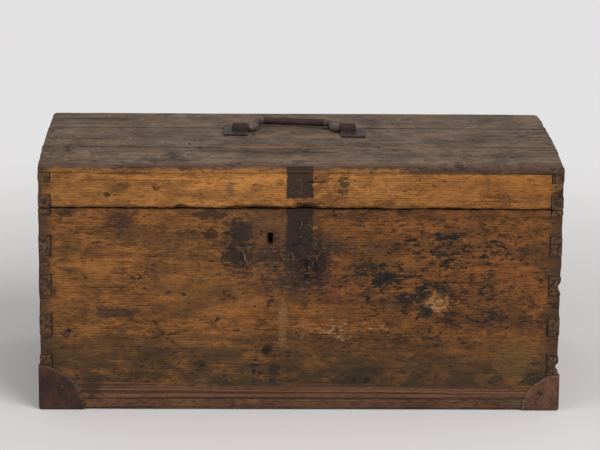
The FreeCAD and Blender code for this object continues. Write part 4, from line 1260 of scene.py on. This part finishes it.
def cap_plate(normal, radius, seed):
    """Points of one plate of a cap, as a grid: its outer skin, its rim and its inner skin.

    A quarter disc runs from the corner out to a slightly uneven rim. The outer skin is drawn onto a rounded
    corner: every point is moved to the fold radius from the box that the fold's centres bound. The inner skin
    lies at least one sheet inside all three planes.
    """
    fold = 2.6
    rings, spokes = 22, 25
    out = np.linspace(0, 1, rings) ** 0.8
    angle = np.linspace(0, math.pi / 2, spokes)
    arc = angle * 30
    first, second = [axis for axis in range(3) if axis != normal]
    rim = radius * (1 - 0.035 * ripple(arc, angle * 0 + normal * 9.0, 7.0, 3.0, seed))
    reach = out[:, None] * rim[None, :]
    sharp = np.zeros((rings, spokes, 3))
    sharp[..., first] = reach * np.cos(angle)
    sharp[..., second] = reach * np.sin(angle)
    core = np.maximum(sharp, fold)
    away = sharp - core
    length = np.maximum(np.linalg.norm(away, axis=-1, keepdims=True), 1e-9)
    outer = core + fold * away / length
    hammered = 0.55 * ripple(sharp[..., first], sharp[..., second], 11.0, 11.0, seed + normal)
    curl = ease(ripple(arc, angle * 0, 12.0, 3.0, seed + 9), 0.5, 0.9)
    lift = 0.7 * ease(out, 0.8, 1.0)[:, None] * curl
    fade = ease(np.minimum(sharp[..., first], sharp[..., second]), 2.0, 8.0)
    outer[..., normal] += fade * (hammered if normal == 2 else hammered - lift)
    inner = np.maximum(sharp, CAP_SHEET)
    brim = (outer[-1:] + inner[-1:]) / 2
    brim[..., first] += 0.35 * np.cos(angle)
    brim[..., second] += 0.35 * np.sin(angle)
    return np.concatenate([outer, brim, inner[::-1]])


def cap_plates(radius, seed):
    """Points and quads of a cap's three plates, in the corner of the positive axes."""
    plates = [cap_plate(normal, radius, seed) for normal in range(3)]
    points = np.concatenate([plate.reshape(-1, 3) for plate in plates])
    index = np.arange(len(points)).reshape(3, *plates[0].shape[:2])
    return points, np.concatenate([grid_quads(numbers) for numbers in index])


def make_caps():
    """The four corner caps, mirrored to their corners."""
    for hand, sign, finish, seed in (("left", -1, CAP_DARK, 20), ("right", 1, CAP_BROWN, 30)):
        radius = CAP_RADII[hand]
        for place, end in (("front", -1), ("back", 1)):
            points, faces = cap_plates(radius, seed)
            from_corner = np.linalg.norm(points, axis=1)
            marks = {"edge": ease(from_corner, radius * 0.90, radius * 0.985)}
            corner = (sign * (X_OUT + CAP_SHEET), end * (Y_OUT + CAP_SHEET), 0)
            points = points * (-sign, -end, 1) + corner
            node = "corner_cap_" + place + "_" + hand
            cap = make_piece(node, "iron", points, faces, finish, "chest_body", SHARP, marks)
            close_up(cap)


# Handle

def bail_line():
    """Points along the bail: straight runs joined by round bends, each an arc tangent to its two runs."""
    inner = HANDLE_HALF - HANDLE_BEND
    grip = inner - HANDLE_TAPER
    corners = np.array([
        (-HANDLE_HALF, 0.0), (-inner, 0.0), (-grip, HANDLE_ARMS["left"]),
        (grip, HANDLE_ARMS["right"]), (inner, 0.0), (HANDLE_HALF, 0.0)])
    runs = [corners[:1]]
    for before, here, after in zip(corners, corners[1:], corners[2:]):
        back = (before - here) / np.linalg.norm(before - here)
        ahead = (after - here) / np.linalg.norm(after - here)
        half = math.acos(np.clip(back @ ahead, -1, 1)) / 2
        reach = HANDLE_BEND / math.tan(half)
        inward = (back + ahead) / np.linalg.norm(back + ahead)
        centre = here + inward * HANDLE_BEND / math.sin(half)
        start = here + back * reach - centre
        end = here + ahead * reach - centre
        t = np.linspace(0, 1, BEND_STEPS)[:, None]
        arc = start * (1 - t) + end * t
        runs.append(centre + HANDLE_BEND * arc / np.linalg.norm(arc, axis=1, keepdims=True))
    runs.append(corners[-1:])
    line = np.concatenate(runs)
    run = run_along(line)
    even = np.linspace(0, run[-1], BAIL_STEPS)
    return np.stack([np.interp(even, run, line[:, 0]), np.interp(even, run, line[:, 1])], 1)


def run_along(path):
    """Distance along a path at each of its points."""
    return np.concatenate([[0], np.cumsum(np.linalg.norm(np.diff(path, axis=0), axis=1))])


def make_bail():
    """The bail: an uneven, slightly flattened round section carried along its line, thinner at the pins."""
    line = bail_line()
    pins = np.linspace(HANDLE_HALF + 0.3, HANDLE_REACH, PIN_STEPS)
    left = np.stack([-pins[::-1], pins * 0], 1)
    right = np.stack([pins, pins * 0], 1)
    path = np.concatenate([left, line, right])
    pin = np.full(len(pins), HANDLE_PIN)
    thin = np.concatenate([pin, np.full(len(line), HANDLE_BAR), pin])
    ahead = np.gradient(path, axis=0)
    ahead /= np.linalg.norm(ahead, axis=1, keepdims=True)
    side = np.stack([-ahead[:, 1], ahead[:, 0]], 1)
    turn = np.linspace(0, 2 * math.pi, BAIL_SIDES + 1)[:-1]
    run = run_along(path)
    rough = ripple(run[:, None] + 0 * turn, turn[None, :] * 4 + 0 * run[:, None], 6.0, 2.2, 81)
    slow = ripple(run, run * 0, 24.0, 1.0, 82)
    bend = ease(np.abs(np.gradient(np.arctan2(ahead[:, 1], ahead[:, 0]))), 0.02, 0.12)
    radius = thin[:, None] * (1 - 0.04 * rough - 0.03 * slow[:, None] + 0.06 * bend[:, None])
    points = np.zeros((len(path), len(turn), 3))
    points[..., 0] = HANDLE_X + path[:, 0:1] + radius * np.cos(turn) * side[:, 0:1]
    points[..., 1] = HANDLE_Y + path[:, 1:2] + radius * np.cos(turn) * side[:, 1:2]
    points[..., 2] = HANDLE_Z + radius * np.sin(turn)
    first, last = [np.broadcast_to(ring.mean(0), (1, len(turn), 3)) for ring in (points[0], points[-1])]
    points = np.concatenate([first, points, last])
    index = np.arange(points.shape[0] * len(turn)).reshape(points.shape[0], -1)
    faces = grid_quads(np.concatenate([index, index[:, :1]], 1))
    # the bends carry the edge mark, where the iron finish paints a highlight
    marks = {"edge": np.repeat(np.concatenate([[0], bend, [0]]), len(turn))}
    bail = make_piece(
        "handle_bail", "iron", points.reshape(-1, 3), faces, HANDLE_IRON, "handle",
        BAIL_SHARP, marks)
    close_up(bail)


def strap_sheet(inner, side, front, back, seed):
    """Top of a strap plate on a grid.

    Across the plate the sheet runs flat, up one leg, over a half circle and down again. Along it the hump
    stands full height from the inner edge and then drops to the flat.
    """
    turn = np.linspace(math.pi, 0, ARCH_STEPS)
    arch_y = np.concatenate([[-HUMP_HALF], HUMP_HALF * np.cos(turn), [HUMP_HALF]])
    arch_z = np.concatenate([[0.0], (HANDLE_Z - LID_TOP - STRAP) + HUMP_HALF * np.sin(turn), [0.0]])
    before = np.linspace(front - HANDLE_Y, -HUMP_HALF, FLAT_STEPS)[:-1]
    behind = np.linspace(HUMP_HALF, back - HANDLE_Y, FLAT_STEPS)[1:]
    y = np.concatenate([before, arch_y, behind])
    z = np.concatenate([before * 0, arch_z, behind * 0])
    along = np.concatenate([
        np.linspace(0, HUMP_LENGTH - 1.2, FLAT_STEPS),
        np.linspace(HUMP_LENGTH - 0.8, HUMP_LENGTH + 0.4, 5),
        np.linspace(HUMP_LENGTH + 1.4, STRAP_LENGTH, 6)])
    full = 1 - ease(along, HUMP_LENGTH - 1.6, HUMP_LENGTH)
    height = full[:, None] * z[None, :]
    width = np.broadcast_to(y, height.shape)
    uneven = 0.5 * ripple(along[:, None] + 0 * width, width, 9.0, 9.0, seed)
    points = np.zeros((*height.shape, 3))
    points[..., 0] = inner + side * along[:, None]
    points[..., 1] = HANDLE_Y + width
    points[..., 2] = LID_TOP + STRAP + height - 0.6 * uneven
    return points


def make_straps():
    """The two strap plates, as sheets with their thickness below."""
    for hand, side, front, back, seed in (("left", -1, -5.0, 38.0, 91), ("right", 1, -13.0, 31.0, 95)):
        points = strap_sheet(HANDLE_X + side * STRAP_INNER, side, front, back, seed)
        rim = np.ones(points.shape[:2])
        rim[1:-1, 1:-1] = 0
        faces = grid_quads(np.arange(rim.size).reshape(rim.shape))
        if side < 0:
            faces = faces[:, ::-1]
        strap = make_piece(
            "handle_strap_" + hand, "iron", points.reshape(-1, 3), faces, STRAP_IRON, "lid",
            SHARP, {"edge": rim.ravel()})
        wall = strap.modifiers.new("sheet", "SOLIDIFY")
        wall.thickness = STRAP_SHEET * MM
        wall.offset = -1.0


# Lid nails

def make_lid_nails():
    """The nails of the lid's planks, their heads hammered and worn down just under the planks' tops."""
    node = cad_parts["lid_plank_nails"]
    mesh = node.data.copy()
    mesh.name = "lid_plank_nails_iron"
    mesh.transform(node.matrix_world)
    points = np.zeros(len(mesh.vertices) * 3, np.float32)
    mesh.vertices.foreach_get("co", points)
    points = points.reshape(-1, 3)
    top = (plank_foot(points[:, 1] / MM) + TOP_PLANK - NAIL_SINK) * MM
    points[:, 2] = np.minimum(points[:, 2], top)
    mesh.vertices.foreach_set("co", points.ravel())
    mesh.update()
    mesh.materials.clear()
    mesh.materials.append(LID_NAIL_IRON)
    seat(new_object(mesh.name, mesh), "lid", "lid_plank_nails")


# Kept CAD pieces

KEPT = {
    NAIL_IRON: ("bottom_board_nails", "corner_cap_nails", "body_hasp_nail_stubs", "lid_hasp_nail_stubs",
                "lock_nails", "lock_staple_nails"),
    STRAP_NAIL_SHADE_IRON: ("handle_strap_nails",),
    LOCK_IRON: ("lock_plate", "lock_case", "lock_bolt", "lock_spring", "lock_staple"),
    HINGE_IRON: ("hinge_body_leaf_left", "hinge_body_leaf_right", "hinge_pin_left", "hinge_pin_right",
                 "hinge_body_screws", "hinge_lid_leaf_left", "hinge_lid_leaf_right", "hinge_lid_screws"),
}


def dress_kept_pieces():
    """Gives every CAD piece that stays its iron finish."""
    for finish, names in KEPT.items():
        for name in names:
            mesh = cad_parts[name].data
            mesh.materials.clear()
            mesh.materials.append(finish)


# Stage

def make_floor():
    """A plain pale floor that takes the chest's shadow and runs out into an even pale backdrop."""
    half = 12.0  # metres
    corners = [(-half, -half, 0), (half, -half, 0), (half, half, 0), (-half, half, 0)]
    mesh = bpy.data.meshes.new("floor")
    mesh.from_pydata(corners, [], [(0, 1, 2, 3)])
    floor = new_object("floor", mesh)
    material, recipe = new_material("pale floor")
    coords = recipe.add("ShaderNodeTexCoord").outputs["Object"]
    away = recipe.ease(recipe.vector("LENGTH", coords), 0.45, 1.3)
    rays = recipe.add("ShaderNodeLightPath").outputs
    backdrop = recipe.times(away, rays["Is Camera Ray"])
    near = recipe.add("ShaderNodeBsdfDiffuse", {"Color": (0.72, 0.70, 0.69, 1.0)}).outputs[0]
    far = recipe.add("ShaderNodeEmission", {"Color": (0.77, 0.76, 0.76, 1.0), "Strength": 1.0}).outputs[0]
    surface = recipe.add("ShaderNodeMixShader", {0: backdrop, 1: near, 2: far}).outputs[0]
    recipe.add("ShaderNodeOutputMaterial", {"Surface": surface})
    mesh.materials.append(material)


def looking(right, up, behind, place):
    """Where a lamp or camera stands and how it is turned."""
    rows = [[right[i], up[i], behind[i], place[i]] for i in range(3)]
    return Matrix(rows + [[0, 0, 0, 1]])


def make_lamp(name, place, target, size, power):
    """A soft square lamp that looks at a target, all in metres."""
    light = bpy.data.lights.new(name, "AREA")
    light.shape = "SQUARE"
    light.size = size
    light.energy = power
    away = np.array(place, float) - np.array(target, float)
    away /= np.linalg.norm(away)
    right = np.cross((0, 0, 1), away)
    right /= np.linalg.norm(right)
    new_object(name, light).matrix_world = looking(right, np.cross(away, right), away, place)


def make_world():
    """Even light from all round; seen directly or in a reflection it is white."""
    world = bpy.data.worlds.new("studio")
    world.use_nodes = True
    world.node_tree.nodes.clear()
    recipe = Recipe(world.node_tree)
    rays = recipe.add("ShaderNodeLightPath").outputs
    seen = recipe.maths("MAXIMUM", rays["Is Camera Ray"], rays["Is Glossy Ray"])
    seen = recipe.maths("MAXIMUM", seen, rays["Is Transmission Ray"])
    strength = recipe.ease(seen, 0.0, 1.0, 0.5, 1.0)
    sky = recipe.add("ShaderNodeBackground", {"Color": (1.0, 1.0, 1.0, 1.0), "Strength": strength})
    recipe.add("ShaderNodeOutputWorld", {"Surface": sky.outputs[0]})
    bpy.context.scene.world = world


def make_camera():
    """The photograph's viewpoint, turned by its yaw, pitch and roll."""
    pitch, yaw, roll = 0.247, 0.0253, 0.010
    eye = np.array([-77.9, -3175.0, 984.4]) * MM
    forward = np.array([math.sin(yaw) * math.cos(pitch), math.cos(yaw) * math.cos(pitch), -math.sin(pitch)])
    level = np.array([math.cos(yaw), -math.sin(yaw), 0.0])
    upright = np.cross(level, forward)
    right = math.cos(roll) * level + math.sin(roll) * upright
    up = math.cos(roll) * upright - math.sin(roll) * level
    camera = bpy.data.cameras.new("camera")
    camera.sensor_width = 36.0
    camera.sensor_fit = "HORIZONTAL"
    camera.lens = 164.14
    camera.clip_end = 100.0
    holder = new_object("camera", camera)
    holder.matrix_world = looking(right, up, -forward, eye)
    bpy.context.scene.camera = holder


make_upright_boards()
make_planks()
make_caps()
make_bail()
make_straps()
make_lid_nails()
dress_kept_pieces()
make_floor()
make_lamp("key", (1.7, -2.3, 2.3), (0, 0, 0.15), 2.2, 84.0)
make_lamp("fill", (-2.2, -1.6, 1.6), (0, 0, 0.15), 2.0, 22.0)
make_world()
make_camera()
bpy.context.scene.view_settings.view_transform = "Standard"
